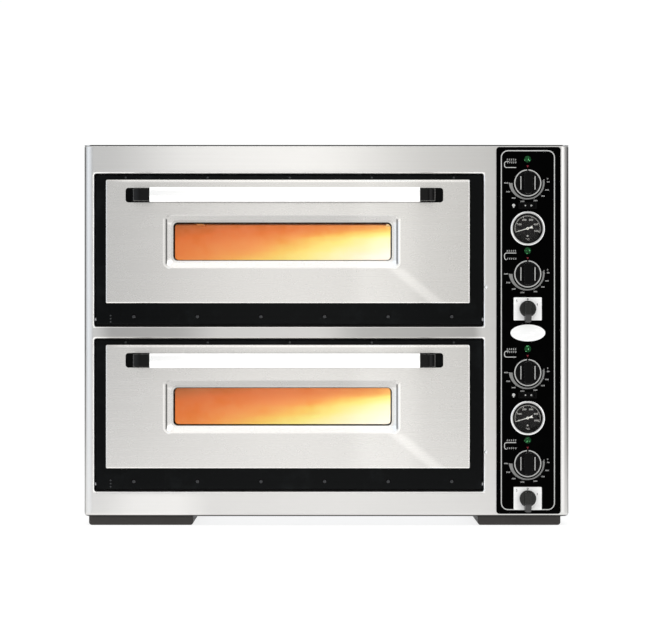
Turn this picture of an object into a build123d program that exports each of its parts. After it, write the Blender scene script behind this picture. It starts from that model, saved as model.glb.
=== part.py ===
"""Countertop pizza oven with two baking decks, one above the other, and a column of controls.

Millimetres. X runs to the right seen from the front, Y to the back, Z up. The origin is on the surface
that the oven stands on, under the centre of its overall box. Each deck has a stone-floored chamber with
tubular heating elements above and below the stone, closed by a door that folds down on two pins.
"""

import math
import os

from build123d import *

# ---- Overall size --------------------------------------------------------------------------------
body_width = 950.0
body_depth = 800.0
overall_height = 745.0
foot_height = 17.5
handle_reach = 52.0
flue_reach = 30.0

# ---- Sheet metal ---------------------------------------------------------------------------------
sheet = 1.5
corner_radius = 18.0
bottom_bend = 7.0
top_bend = 3.0
lip_depth = 12.0
lip_bend = 4.0
fascia_return = 30.0
flange = 14.0
running_gap = 0.3

# ---- Front layout --------------------------------------------------------------------------------
top_band = 56.5
middle_band = 24.0
bottom_band = 49.0
opening_left_margin = 20.5
opening_radius = 4.0
panel_right_margin = 16.5
panel_gap = 25.0
panel_width = 126.0
panel_edge = 4.0
panel_thickness = 2.5
panel_radius = 6.0
controls_shift = -1.7
cutout_inset = 9.0
cutout_clearance = 3.0

# ---- Doors ---------------------------------------------------------------------------------------
door_side_gap = 3.0
door_bottom_gap = 4.0
door_recess = 3.0
tray_depth = 32.0
mouth_gap = 5.5
face_proud = 10.0
face_sheet = 1.2
face_bend = 2.8
face_margins = {"left": 22.7, "right": 27.0, "bottom": 45.2, "top": 11.8}
hinge_inset = 10.0
strip_height = 15.3
strip_proud = 1.5
strip_notch = 1.3

window_width = 428.0
window_height = 75.0
window_shift = -10.4
window_drop = 121.0
window_radius = 9.0
bezel_border = 15.0
bezel_depth = 8.0
glass_lap = 8.0
glass_thickness = 4.0
tunnel_wall = 1.5

slot_height = 28.6
slot_drop = 30.4
slot_radius = 6.0
slot_margins = {"left": 38.8, "right": 52.3}
bar_height = 29.0
bar_depth = 19.0
bar_wall = 1.6
bracket_reaches = (33.3, 31.0)
bracket_height = 24.0
bracket_side_gap = 15.6
plug_length = 18.0

# ---- Hinges --------------------------------------------------------------------------------------
pin_radius = 4.0
pin_clearance = 0.06
pin_hole_clearance = 0.6
pin_head_radius = 7.0
pin_head_length = 5.0
bracket_plate = 4.0
hinge_plate = 3.0
hinge_plate_height = 44.0
spring_wire = 1.0
spring_radius = 6.8
spring_turns = 9
spring_pitch = 2.6

# ---- Chambers ------------------------------------------------------------------------------------
mouth_margin = 71.0
rear_gap = 138.0
sill_height = 62.0
lintel_height = 87.0
roof_rise = 20.0
stone_thickness = 16.0
stone_gap = 1.0
ledge_width = 16.0
pan_depth = 22.0
element_radius = 4.0
element_runs = 6
element_terminal = 28.0
hanger_width = 14.0
lamp_radius = 26.0
lamp_dome = 12.0
lamp_body_depth = 45.0
flue_radius = 20.0
flue_wall = 2.0
flue_flange_radius = 34.0
flue_inset = 50.0

# ---- Controls ------------------------------------------------------------------------------------
knob_radius = 27.5
knob_height = 23.0
knob_grip_width = 18.0
knob_stand_off = 1.0
shaft_radius = 3.0
shaft_clearance = 0.06
shaft_length = 13.0
lamp_lens_radius = 6.5
lamp_stem_radius = 5.0
rocker_width = 36.0
rocker_height = 13.0
rocker_frame_wall = 2.5
rocker_gap = 0.5
rocker_end_gap = 1.4
rocker_slope = 5.0
rocker_throw = 12.0
rocker_valley = 1.2
rocker_pivot_depth = 2.0
rocker_body = 16.0
gauge_radius = 34.0
gauge_case_radius = 30.0
gauge_wall = 1.2
gauge_case_depth = 22.0
gauge_start_angle = 196.5
thermostat_case = {"width": 44.0, "height": 36.0, "depth": 32.0}
switch_case = {"width": 44.0, "height": 40.0, "depth": 44.0}
switch_plate_width = 55.0
switch_plate_height = 45.0
switch_boss_radius = 16.3
switch_lever_width = 14.6
switch_lever_reach = 27.0
badge_height = 33.0
# Free heights above the rows of one deck's controls, as shares of the free height of the whole panel.
row_gaps = {
    "lamp_top": 18.4,
    "knob_top": 13.0,
    "rocker": 10.5,
    "gauge": 4.5,
    "lamp_bottom": 3.0,
    "knob_bottom": 12.2,
    "switch": 19.0,
}
badge_gap = 8.45
last_gap = 8.1

# ---- Base and back -------------------------------------------------------------------------------
runner_widths = {"left": 204.0, "right": 162.0}
runner_insets = {"left": 9.5, "right": 16.5}
runner_wall = 2.5
runner_front_inset = 6.0
runner_radius = 6.0
runner_length = 760.0
screw_radius = 2.0
screw_head_radius = 4.0
rivet_radius = 1.4
rivet_head_radius = 3.8
rivet_length = 10.0
gland_bore = 7.0
gland_radius = 13.0
gland_length = 26.0

# ---- Places worked out from the sizes above ------------------------------------------------------
front_y = -(handle_reach + body_depth + flue_reach) / 2 + handle_reach
back_y = front_y + body_depth
left_x = -body_width / 2
right_x = body_width / 2
body_top = overall_height
lid_z = body_top - sheet

opening_x0 = left_x + opening_left_margin
opening_x1 = right_x - panel_right_margin - panel_width - panel_gap
opening_height = (overall_height - foot_height - top_band - middle_band - bottom_band) / 2
opening_mid_x = (opening_x0 + opening_x1) / 2
sills = {
    "lower": foot_height + bottom_band,
    "upper": foot_height + bottom_band + opening_height + middle_band,
}

panel_x0 = right_x - panel_right_margin - panel_width
panel_x1 = right_x - panel_right_margin
panel_z0 = foot_height + panel_edge + 1.0
panel_z1 = overall_height - panel_edge
panel_x = (panel_x0 + panel_x1) / 2 + controls_shift
panel_front = front_y - panel_thickness

tray_front = front_y + door_recess
tray_back = tray_front + tray_depth
mouth_y = tray_back + mouth_gap
chamber_y0 = mouth_y + sheet
chamber_y1 = back_y - rear_gap
chamber_x0 = opening_x0 + mouth_margin
chamber_x1 = opening_x1 - mouth_margin
face_front = front_y - face_proud
face_x0 = opening_x0 + face_margins["left"]
face_x1 = opening_x1 - face_margins["right"]
hinge_y = tray_front + hinge_inset
bar_front = front_y - handle_reach
flue_x = chamber_x1 - flue_inset
partition_x = chamber_x1 + sheet + 80.0


# ---- Small helpers -------------------------------------------------------------------------------
def block(x0, x1, y0, y1, z0, z1):
    """Box between two corners."""
    return Pos((x0 + x1) / 2, (y0 + y1) / 2, (z0 + z1) / 2) * Box(x1 - x0, y1 - y0, z1 - z0)


def slab(x0, x1, z0, z1, y0, y1, radius=0.0):
    """Rectangle seen from the front, with rounded corners, from y0 back to y1."""
    outline = RectangleRounded(x1 - x0, z1 - z0, radius) if radius else Rectangle(x1 - x0, z1 - z0)
    plane = Plane(origin=((x0 + x1) / 2, y1, (z0 + z1) / 2), x_dir=(1, 0, 0), z_dir=(0, -1, 0))
    return extrude(plane * outline, y1 - y0)


def rod_x(x0, x1, y, z, radius):
    """Cylinder along X."""
    return Pos((x0 + x1) / 2, y, z) * Rot(0, 90, 0) * Cylinder(radius, x1 - x0)


def rod_y(x, y0, y1, z, radius):
    """Cylinder along Y."""
    return Pos(x, (y0 + y1) / 2, z) * Rot(90, 0, 0) * Cylinder(radius, y1 - y0)


def out_of_panel(z):
    """Place on the control panel's face, with +Z pointing at the cook and +Y up."""
    return Pos(panel_x, panel_front, z) * Rot(90, 0, 0)


def disc(radius, z0, z1):
    """Cylinder along the local Z axis from z0 to z1."""
    return Pos(0, 0, z0) * Cylinder(radius, z1 - z0, align=(Align.CENTER, Align.CENTER, Align.MIN))


def dome(radius, height, z0):
    """Spherical cap that stands on a circle of the given radius."""
    ball = (radius**2 + height**2) / (2 * height)
    return Pos(0, 0, z0 + height - ball) * Sphere(ball) & disc(radius + 1, z0, z0 + height + 1)


def edges_at(shape, axis, position, tolerance=0.01):
    """Edges that lie wholly at one position along an axis."""
    return shape.edges().filter_by_position(axis, position - tolerance, position + tolerance)


def spread(first, last, count):
    """Evenly spaced places from first to last."""
    return [first + (last - first) * i / (count - 1) for i in range(count)]


def save(shape, node):
    """Write one node's solids to its STEP file."""
    pieces = shape if isinstance(shape, list) else [shape]
    solids = [solid for piece in pieces for solid in piece.solids()]
    whole = solids[0] if len(solids) == 1 else Compound(children=solids)
    export_step(whole, os.path.join("parts", node + ".step"))


# ---- Control rows --------------------------------------------------------------------------------
row_heights = {
    "lamp_top": 2 * lamp_lens_radius,
    "knob_top": 2 * knob_radius,
    "rocker": rocker_height,
    "gauge": 2 * gauge_radius,
    "lamp_bottom": 2 * lamp_lens_radius,
    "knob_bottom": 2 * knob_radius,
    "switch": switch_plate_height,
}


def control_rows():
    """Centre height of each control of each deck, packed down the panel, and of the badge."""
    free = panel_z1 - panel_z0 - 2 * sum(row_heights.values()) - badge_height
    shares = 2 * sum(row_gaps.values()) + 2 * badge_gap + last_gap - (row_gaps["lamp_top"])
    unit = free / shares
    rows = {"upper": {}, "lower": {}}
    z = panel_z1
    for deck in ("upper", "lower"):
        for name, height in row_heights.items():
            first_below_badge = deck == "lower" and name == "lamp_top"
            gap = badge_gap if first_below_badge else row_gaps[name]
            z -= gap * unit + height / 2
            rows[deck][name] = z
            z -= height / 2
        if deck == "upper":
            z -= badge_gap * unit + badge_height
    return rows


rows = control_rows()


# ---- Casing --------------------------------------------------------------------------------------
def door_opening(sill, grow=0.0):
    """Corners of a deck's opening in the fascia, x0, x1, z0, z1."""
    return (
        opening_x0 - grow,
        opening_x1 + grow,
        sill - grow,
        sill + opening_height + grow,
    )


def control_cutout():
    """The hole in the fascia behind the control panel, from the lowest switch to the highest lamp."""
    bottom = rows["lower"]["switch"] - switch_case["height"] / 2 - cutout_clearance
    top = rows["upper"]["lamp_top"] + lamp_stem_radius + cutout_clearance
    return panel_x0 + cutout_inset, panel_x1 - cutout_inset, bottom, top


def rivet_points():
    """Stop rivets beside each door, right of the opening."""
    return [(opening_x1 + 5.5, sill + 77.0) for sill in sills.values()]


def front_fascia():
    """Front sheet with rolled corners, folded returns, lipped door openings and the control cut-out."""

    def shell(inset):
        """The fascia's outline, as a solid, inset by a distance."""
        solid = block(
            left_x + inset,
            right_x - inset,
            front_y + inset,
            front_y + fascia_return + inset,
            foot_height + inset,
            lid_z - inset,
        )
        upright = solid.edges().filter_by(Axis.Z).group_by(Axis.Y)[0]
        solid = fillet(upright, corner_radius - inset)
        rear = front_y + fascia_return + inset
        for z, bend in ((foot_height + inset, bottom_bend), (lid_z - inset, top_bend)):
            rim = [e for e in edges_at(solid, Axis.Z, z) if e.center().Y < rear - 1]
            solid = fillet(rim, bend - inset)
        return solid

    fascia = shell(0) - shell(sheet)
    for sill in sills.values():
        fascia += slab(*door_opening(sill, sheet), front_y, front_y + lip_depth, opening_radius + sheet)
        outer_radius = opening_radius + 2 * sheet
        fascia += slab(*door_opening(sill, 2 * sheet), front_y, front_y + 2 * sheet, outer_radius)
        fascia -= slab(*door_opening(sill), front_y - 1, front_y + lip_depth + 1, opening_radius)
    for sill in sills.values():
        x0, x1, z0, z1 = door_opening(sill, 1.0)
        rim = [
            e
            for e in edges_at(fascia, Axis.Y, front_y)
            if x0 < e.center().X < x1 and z0 < e.center().Z < z1
        ]
        fascia = fillet(rim, lip_bend)
    fascia -= slab(*control_cutout(), front_y - 1, front_y + sheet + 1, 3.0)
    for x in (opening_x0 - sheet / 2, opening_x1 + sheet / 2):
        for sill in sills.values():
            hole = pin_radius + pin_hole_clearance
            fascia -= rod_x(x - sheet, x + sheet, hinge_y, hinge_z(sill), hole)
    for x, z in rivet_points():
        fascia -= rod_y(x, front_y - 1, front_y + 2 * sheet + 1, z, rivet_radius)
    return fascia


def side_panel(side):
    """Side sheet with inward flanges; the right one has cooling louvres beside the controls."""
    outer = left_x if side == "left" else right_x
    inward = 1 if side == "left" else -1
    y0, y1 = front_y + fascia_return, back_y - sheet
    z0, z1 = foot_height + sheet, lid_z

    def layer(distance, depth, ya, yb, za, zb):
        """Box that starts some way inside the outer face."""
        a, b = outer + inward * distance, outer + inward * (distance + depth)
        return block(min(a, b), max(a, b), ya, yb, za, zb)

    panel = layer(0, sheet, y0, y1, z0, z1)
    panel += layer(0, flange, y0, y1, z1 - sheet, z1)
    panel += layer(0, flange, y0, y1, z0, z0 + sheet)
    panel += layer(0, flange, y1 - sheet, y1, z0, z1)
    for x, y in lid_screws():
        panel -= Pos(x, y, lid_z) * Cylinder(screw_radius, 4 * sheet)
    for x, z in back_screws():
        panel -= rod_y(x, back_y - 4 * sheet, back_y, z, screw_radius)
    if side == "left":
        return panel
    for column in (0, 1):
        ya = y0 + 150 + column * 110
        for z in spread(z0 + 110, z1 - 110, 12):
            panel -= layer(-1, sheet + 2, ya, ya + 80, z, z + 7)
            hood = layer(sheet, 5, ya - 2, ya + 82, z - 2, z + 9)
            pocket = layer(sheet - 1, 5, ya, ya + 80, z - 3, z + 7.5)
            panel += hood - pocket
    return panel


def lid_screws():
    """Places of the screws that hold the lid, in plan."""
    xs = (left_x + flange - 6, right_x - flange + 6)
    return [(x, y) for x in xs for y in spread(front_y + 90, back_y - 60, 4)]


def top_panel():
    """Flat lid with rounded front corners that lies on the fascia and the side panels."""
    lid = block(left_x, right_x, front_y + 1.0, back_y, lid_z, body_top)
    lid = fillet(lid.edges().filter_by(Axis.Z).group_by(Axis.Y)[0], corner_radius - 1)
    lid = fillet(edges_at(lid, Axis.Z, body_top), 0.7)
    for x, y in lid_screws():
        lid -= Pos(x, y, body_top - sheet / 2) * Cone(screw_radius, screw_head_radius, sheet)
    return lid


def back_screws():
    """Places of the screws round the back panel, seen from behind."""
    side = [(x, z) for x in (left_x + 8, right_x - 8) for z in spread(60, lid_z - 45, 4)]
    base = [(x, foot_height + sheet + 8) for x in spread(left_x + 120, right_x - 120, 4)]
    return side + base


def flue_z(sill):
    """Height of a deck's steam outlet."""
    return sill + sill_height + chamber_height() - 35


gland_place = (panel_x - 10, foot_height + 62.0)


def back_panel():
    """Back sheet with vent slots, steam outlet holes and the cable entry."""
    panel = block(left_x, right_x, back_y - sheet, back_y, foot_height + sheet, lid_z)
    for sill in sills.values():
        hole = flue_radius + running_gap
        panel -= rod_y(flue_x, back_y - 5, back_y + 5, flue_z(sill), hole)
    for row in spread(420, 640, 10):
        panel -= slab(panel_x - 45, panel_x + 45, row, row + 7, back_y - 5, back_y + 5, 3.4)
    for x, z in back_screws():
        panel -= rod_y(x, back_y - 5, back_y + 5, z, screw_radius)
    x, z = gland_place
    return panel - rod_y(x, back_y - 5, back_y + 5, z, gland_radius - 3)


def base_pan():
    """Bottom sheet of the casing with a low upturned rear flange."""
    pan = block(left_x + 1, right_x - 1, front_y + fascia_return, back_y, foot_height, foot_height + sheet)
    rear = block(
        left_x + flange + 2,
        right_x - flange - 2,
        back_y - 2 * sheet,
        back_y - sheet,
        foot_height,
        foot_height + 2 * flange,
    )
    front = block(
        left_x + flange + 2,
        right_x - flange - 2,
        front_y + bottom_bend + 1,
        front_y + fascia_return,
        foot_height + sheet,
        foot_height + 2 * sheet,
    )
    pan += rear + front + block(left_x + flange + 2, right_x - flange - 2, front_y + fascia_return,
                                front_y + fascia_return + 8, foot_height, foot_height + 2 * sheet)
    for x, z in back_screws():
        pan -= rod_y(x, back_y - 10, back_y + 1, z, screw_radius)
    return pan


def control_partition():
    """Upright sheet between the insulation and the control compartment."""
    y0, y1 = mouth_y + 8, back_y - 2 * sheet - 0.5
    wall = block(partition_x, partition_x + sheet, y0, y1, foot_height + sheet, lid_z)
    foot = block(partition_x, partition_x + flange, y0, y1, foot_height + sheet, foot_height + 2 * sheet)
    return wall + foot


def base_runner(side):
    """Folded steel runner under one side, closed at both ends."""
    width = runner_widths[side]
    inset = runner_insets[side]
    x0 = left_x + inset if side == "left" else right_x - inset - width
    y0 = front_y + runner_front_inset
    y1 = y0 + runner_length
    runner = block(x0, x0 + width, y0, y1, 0, foot_height)
    runner = fillet(edges_at(runner, Axis.Z, 0), runner_radius)
    hollow = block(
        x0 + runner_wall,
        x0 + width - runner_wall,
        y0 + runner_wall,
        y1 - runner_wall,
        runner_wall,
        foot_height + 1,
    )
    hollow = fillet(hollow.faces().sort_by(Axis.Z)[0].edges(), runner_radius - runner_wall)
    return runner - hollow


# ---- Fasteners, outlets and the cable entry ------------------------------------------------------
def screw(place, length):
    """Low round-headed screw with a crossed recess that points out along the local Z axis."""
    head = dome(screw_head_radius, 2.2, 0)
    head -= Pos(0, 0, 2.0) * Box(5, 1.0, 1.4) + Pos(0, 0, 2.0) * Box(1.0, 5, 1.4)
    return place * (head + disc(screw_radius, -length, 0.2))


def lid_screw(x, y):
    """Countersunk screw, flush with the lid."""
    head = Pos(x, y, body_top - sheet / 2) * Cone(screw_radius, screw_head_radius, sheet)
    return head + Pos(x, y, lid_z) * disc(screw_radius, -8, 0.1)


def casing_screws():
    """Screws of the lid and the back, and the stop rivets beside the doors."""
    found = [lid_screw(x, y) for x, y in lid_screws()]
    for x, z in back_screws():
        found.append(screw(Pos(x, back_y, z) * Rot(-90, 0, 0), 2 * sheet))
    for x, z in rivet_points():
        place = Pos(x, front_y, z) * Rot(90, 0, 0)
        found.append(place * (dome(rivet_head_radius, 2.8, 0) + disc(rivet_radius, -rivet_length, 0.2)))
    return found


def steam_outlets():
    """Tube from each chamber's back wall out through the casing, with a collar on the back panel."""
    found = []
    for sill in sills.values():
        z = flue_z(sill)
        tube = rod_y(flue_x, chamber_y1 + sheet, back_y, z, flue_radius - 1)
        tube += rod_y(flue_x, back_y, back_y + flue_reach, z, flue_radius)
        tube += rod_y(flue_x, back_y, back_y + 2, z, flue_flange_radius)
        tube -= rod_y(flue_x, chamber_y1, back_y + flue_reach + 1, z, flue_radius - 1 - flue_wall)
        found.append(tube)
    return found


def cable_gland():
    """Cable entry: a hexagon outside the panel, a domed nut on it and the threaded stem inside."""
    x, z = gland_place
    place = Pos(x, back_y, z) * Rot(-90, 0, 0)
    hexagon = extrude(RegularPolygon(gland_radius + 3, 6), 8)
    nut = disc(gland_radius, 8, gland_length)
    nut = fillet(nut.edges().sort_by(Axis.Z)[-1], 5)
    stem = disc(gland_radius - 3, -12, 0)
    return place * (hexagon + nut + stem - disc(gland_bore, -13, gland_length + 1))


# ---- Chambers ------------------------------------------------------------------------------------
def hinge_z(sill):
    """Height of a door's hinge axis."""
    return sill + door_bottom_gap + hinge_inset


def chamber_height():
    """Clear height of a chamber above its stone floor."""
    return opening_height - sill_height - lintel_height


def element_heights(sill):
    """Centre heights of the lower and upper heating elements."""
    lower = sill + pan_depth + element_radius + 10
    upper = sill + sill_height + chamber_height() + roof_rise - element_radius - 9
    return lower, upper


def terminal_places():
    """Y of the two ends of an element, where it leaves through the chamber's right wall."""
    rows_y = element_rows()
    return rows_y[0], rows_y[-1]


def element_rows():
    """Y of each straight run of an element."""
    return spread(chamber_y0 + 60, chamber_y1 - 60, element_runs)


def lamp_place(sill):
    """Centre of a chamber's lamp in the right wall."""
    return chamber_y0 + 0.62 * (chamber_y1 - chamber_y0), sill + sill_height + chamber_height() * 0.5


def chamber_liner(sill):
    """Chamber box open at the front, with its mouth plate, door recess, stone ledges and element rests."""
    x0, x1, y0, y1 = chamber_x0, chamber_x1, chamber_y0, chamber_y1
    pan_z = sill + pan_depth
    stone_z = sill + sill_height
    roof_z = stone_z + chamber_height() + roof_rise
    lower, upper = element_heights(sill)

    liner = block(x0 - sheet, x1 + sheet, mouth_y, y1 + sheet, pan_z - sheet, roof_z + sheet)
    liner -= block(x0, x1, mouth_y - 1, y1, pan_z, roof_z)

    around = door_opening(sill, 2 * sheet)
    recess = slab(*around, front_y + 2 * sheet, mouth_y + sheet, opening_radius + 2 * sheet)
    recess -= slab(*door_opening(sill, sheet), front_y, mouth_y, opening_radius + sheet)
    mouth = slab(x0, x1, stone_z - 2, stone_z + chamber_height(), mouth_y - 1, mouth_y + sheet + 1, 3)
    room = block(x0, x1, mouth_y + sheet, y1, pan_z, roof_z)
    liner = liner + (recess - mouth) - room

    for x in (opening_x0 - 1.5 * sheet, opening_x1 + 1.5 * sheet):
        hole = pin_radius + pin_hole_clearance
        liner -= rod_x(x - 2, x + 2, hinge_y, hinge_z(sill), hole)

    ledge_z = stone_z - stone_thickness
    for xa in (x0, x1 - ledge_width, opening_mid_x - ledge_width / 2):
        liner += block(xa, xa + ledge_width, y0, y1, ledge_z - sheet, ledge_z)
    for x in (x0 + 110, x1 - 110):
        rest = upper - element_radius - running_gap
        liner += block(x, x + hanger_width, y0, y1, rest - sheet, rest)
        rest = lower - element_radius - running_gap
        liner += block(x, x + hanger_width, y0 + 8, y1 - 8, pan_z, rest)

    for y in terminal_places():
        for z in (lower, upper):
            liner -= rod_x(x1 - 1, x1 + sheet + 1, y, z, element_radius + running_gap)
    lamp_y, lamp_z = lamp_place(sill)
    liner -= rod_x(x1 - 1, x1 + sheet + 1, lamp_y, lamp_z, lamp_radius - 6)
    return liner - rod_y(flue_x, y1 - 1, y1 + sheet + 1, flue_z(sill), flue_radius - 4)


def baking_stones(sill):
    """Four firebrick tiles, two by two, on the chamber's ledges."""
    top = sill + sill_height
    wide = (chamber_x1 - chamber_x0 - 3 * stone_gap) / 2
    deep = (chamber_y1 - chamber_y0 - 3 * stone_gap) / 2
    found = []
    for i in (0, 1):
        for j in (0, 1):
            x = chamber_x0 + stone_gap + i * (wide + stone_gap)
            y = chamber_y0 + stone_gap + j * (deep + stone_gap)
            tile = block(x, x + wide, y, y + deep, top - stone_thickness, top)
            found.append(chamfer(edges_at(tile, Axis.Z, top), 1.0))
    return found


def heating_element(z):
    """Tubular element that runs to and fro across the chamber and leaves through the right wall."""
    near, far = chamber_x1 - 45, chamber_x0 + 30
    ys = element_rows()
    pitch = ys[1] - ys[0]
    corners = [(chamber_x1 + element_terminal, ys[0])]
    for i, y in enumerate(ys):
        if i > 0:
            corners.append((far if i % 2 else near, y))
        if i < len(ys) - 1:
            corners.append((near if i % 2 else far, y))
    corners.append((chamber_x1 + element_terminal, ys[-1]))
    path = FilletPolyline(*[(x, y, z) for x, y in corners], radius=0.46 * pitch)
    start = Plane(origin=path @ 0, z_dir=path % 0)
    return sweep(start * Circle(element_radius), path=path)


def chamber_lamp(sill):
    """Lamp in the right wall: holder in the insulation, flange and glass dome inside the chamber."""
    y, z = lamp_place(sill)
    place = Pos(chamber_x1, y, z) * Rot(0, -90, 0)
    glass = dome(lamp_radius - 3, lamp_dome - 2, 2)
    flange_ring = disc(lamp_radius, 0, 2)
    holder = disc(lamp_radius - 6, -lamp_body_depth, 0)
    return place * (glass + flange_ring + holder)


def insulation():
    """Mineral wool packed round and between the chambers."""
    x0, x1 = chamber_x0 - sheet, chamber_x1 + sheet
    y0, y1 = mouth_y + sheet + running_gap, chamber_y1 + sheet
    z0, z1 = foot_height + sheet, lid_z
    outer_x0 = left_x + flange + 1
    rear = back_y - 2 * sheet - 1
    walls = {}
    for name, sill in sills.items():
        pan = sill + pan_depth - sheet
        roof = sill + sill_height + chamber_height() + roof_rise + sheet
        walls[name] = (pan, roof)
    slabs = [
        block(x0, x1, y0, y1, z0 + sheet, walls["lower"][0]),
        block(x0, x1, y0, y1, walls["lower"][1], walls["upper"][0]),
        block(x0, x1, y0, y1, walls["upper"][1], z1),
    ]
    left = block(outer_x0, x0, y0, y1, z0 + 2 * sheet, z1 - sheet - 0.5)
    right = block(x1, partition_x, y0 + 8, y1, z0 + 2 * sheet, z1)
    back = block(outer_x0, partition_x, y1, rear, z0 + sheet + 2 * flange, z1 - sheet - 0.5)
    for sill in sills.values():
        lamp_y, lamp_z = lamp_place(sill)
        right -= rod_x(x1, x1 + 60, lamp_y, lamp_z, lamp_radius - 6 + running_gap)
        for y in terminal_places():
            for z in element_heights(sill):
                right -= rod_x(x1, x1 + 60, y, z, element_radius + 2)
        back -= rod_y(flue_x, y1 - 1, rear + 1, flue_z(sill), flue_radius - 1 + running_gap)
    return slabs + [left, right, back]


# ---- Doors ---------------------------------------------------------------------------------------
def door_outline(sill, inset=0.0):
    """Corners of the door tray, x0, x1, z0, z1."""
    return (
        opening_x0 + door_side_gap + inset,
        opening_x1 - door_side_gap - inset,
        sill + door_bottom_gap + inset,
        sill + opening_height - door_side_gap - inset,
    )


def face_outline(sill, inset=0.0):
    """Corners of the stainless face panel."""
    return (
        face_x0 + inset,
        face_x1 - inset,
        sill + face_margins["bottom"] + inset,
        sill + opening_height - face_margins["top"] - inset,
    )


def window_outline(sill, grow=0.0):
    """Corners of the clear window, grown by a border."""
    x = (face_x0 + face_x1) / 2 + window_shift
    z = face_outline(sill)[3] - window_drop
    return (
        x - window_width / 2 - grow,
        x + window_width / 2 + grow,
        z - window_height / 2 - grow,
        z + window_height / 2 + grow,
    )


def slot_outline(sill, grow=0.0):
    """Corners of the hand slot in the face panel."""
    z = face_outline(sill)[3] - slot_drop
    return (
        face_x0 + slot_margins["left"] - grow,
        face_x1 - slot_margins["right"] + grow,
        z - slot_height / 2 - grow,
        z + slot_height / 2 + grow,
    )


def bar_ends(sill):
    """X of the handle bar's two ends, and its centre height."""
    x0, x1, z0, z1 = slot_outline(sill)
    left, right = (bracket_side_gap + reach for reach in bracket_reaches)
    return x0 + left, x1 - right, (z0 + z1) / 2


def strip_screws(sill):
    """Screws of the door's hinge strip, along the bottom."""
    x0, x1, z0, _ = door_outline(sill)
    return [(x, z0 + strip_height) for x in spread(x0 + 74, x1 - 59, 6)]


def spring_rivets(sill):
    """Small rivets low on the left that hold the leg of the left spring."""
    x0, _, z0, _ = door_outline(sill)
    return [(x0 + 28.5, z) for z in spread(z0 + 5, z0 + strip_height + 2, 3)]


def rim_screws(sill):
    """Small screws along the top edge of the door tray."""
    x0, x1, _, z1 = door_outline(sill)
    return [(x, z1 - 4.5) for x in spread(x0 + 58, x1 - 55, 5)]


def bracket_screws(sill):
    """Screws from inside the tray into the two handle brackets."""
    x0, x1, z = bar_ends(sill)
    return [(x0 - bracket_reaches[0] / 2, z), (x1 + bracket_reaches[1] / 2, z)]


def door_tray(sill):
    """Black outer tray of the door: front wall, four folded sides and the stiffened hinge strip."""
    tray = slab(*door_outline(sill), tray_front, tray_back, 3.0)
    tray = fillet(edges_at(tray, Axis.Y, tray_front), 2.4)
    tray -= slab(*door_outline(sill, sheet), tray_front + sheet, tray_back + 1, 1.5)
    x0, x1, z0, _ = door_outline(sill)
    strip = slab(x0 + 49, x1 - 8, z0 + strip_height, z0 + 40, tray_front - strip_proud, tray_front + 1)
    for x, z in strip_screws(sill):
        strip -= rod_y(x, tray_front - 5, tray_front, z, screw_head_radius + strip_notch)
    tray += strip
    tray -= slab(*window_outline(sill, glass_lap + 3), tray_front - 5, tray_front + sheet + 1, 4.0)
    for x, z in strip_screws(sill) + rim_screws(sill) + bracket_screws(sill):
        tray -= rod_y(x, tray_front - 5, tray_front + sheet + 1, z, screw_radius)
    for x, z in spring_rivets(sill):
        tray -= rod_y(x, tray_front - 1, tray_front + sheet + 1, z, rivet_radius)
    hole = pin_radius + pin_hole_clearance
    tray -= rod_x(x0 - 1, x0 + sheet + 1, hinge_y, hinge_z(sill), hole)
    return tray - rod_x(x1 - sheet - 1, x1 + 1, hinge_y, hinge_z(sill), hole)


def door_face_panel(sill):
    """Stainless face: a folded pan with a hand slot and a drawn recess round the window."""
    pan = slab(*face_outline(sill), face_front, tray_front, face_bend + 0.2)
    pan = fillet(edges_at(pan, Axis.Y, face_front), face_bend)
    inner_bend = face_bend - face_sheet + 0.2
    inside = slab(*face_outline(sill, face_sheet), face_front + face_sheet, tray_front + 1, inner_bend)
    pan -= fillet(edges_at(inside, Axis.Y, face_front + face_sheet), face_bend - face_sheet)
    pan -= slab(*slot_outline(sill), face_front - 1, face_front + face_sheet + 1, slot_radius)
    rim_radius = slot_radius + face_sheet
    rim = slab(*slot_outline(sill, face_sheet), face_front + face_sheet / 2, face_front + 5, rim_radius)
    pan += rim - slab(*slot_outline(sill), face_front - 1, face_front + 6, slot_radius)

    def funnel(grow, y_near, y_far):
        """Sloping walls of the window recess, as a solid, grown by the sheet."""
        near = recess_section(sill, bezel_border + grow, y_near)
        far = recess_section(sill, 4.0 + grow, y_far)
        return loft(Sketch() + [near, far])

    depth = face_front + bezel_depth
    hollow = funnel(0, face_front - 0.01, depth)
    walls = funnel(face_sheet, face_front + 0.2, depth + face_sheet)
    inside_y = face_front + face_sheet + 1
    pan -= slab(*window_outline(sill, bezel_border), face_front - 1, inside_y, bezel_corner())
    pan += walls - hollow
    pan -= slab(*window_outline(sill), face_front - 1, depth + face_sheet + 1, window_radius)
    return pan


def bezel_corner():
    """Corner radius of the recess where it meets the face."""
    return window_radius + bezel_border / 2


def recess_section(sill, grow, y):
    """One section of the recess walls, seen from the front, at a depth."""
    x0, x1, z0, z1 = window_outline(sill, grow)
    plane = Plane(origin=((x0 + x1) / 2, y, (z0 + z1) / 2), x_dir=(1, 0, 0), z_dir=(0, -1, 0))
    return plane * RectangleRounded(x1 - x0, z1 - z0, window_radius + grow / 2)


def glass_front():
    """Front of the outer pane, against the back of the recess."""
    return face_front + bezel_depth + face_sheet


def window_panes(sill):
    """The two panes of the window, one behind the recess and one at the chamber side."""
    outer = slab(*window_outline(sill, glass_lap), glass_front(), glass_front() + glass_thickness, 3.0)
    inner_y = tray_back - sheet - glass_thickness
    reach = glass_lap - tunnel_wall - running_gap
    inner = slab(*window_outline(sill, reach), inner_y, inner_y + glass_thickness, 2.0)
    return [outer, inner]


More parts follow.
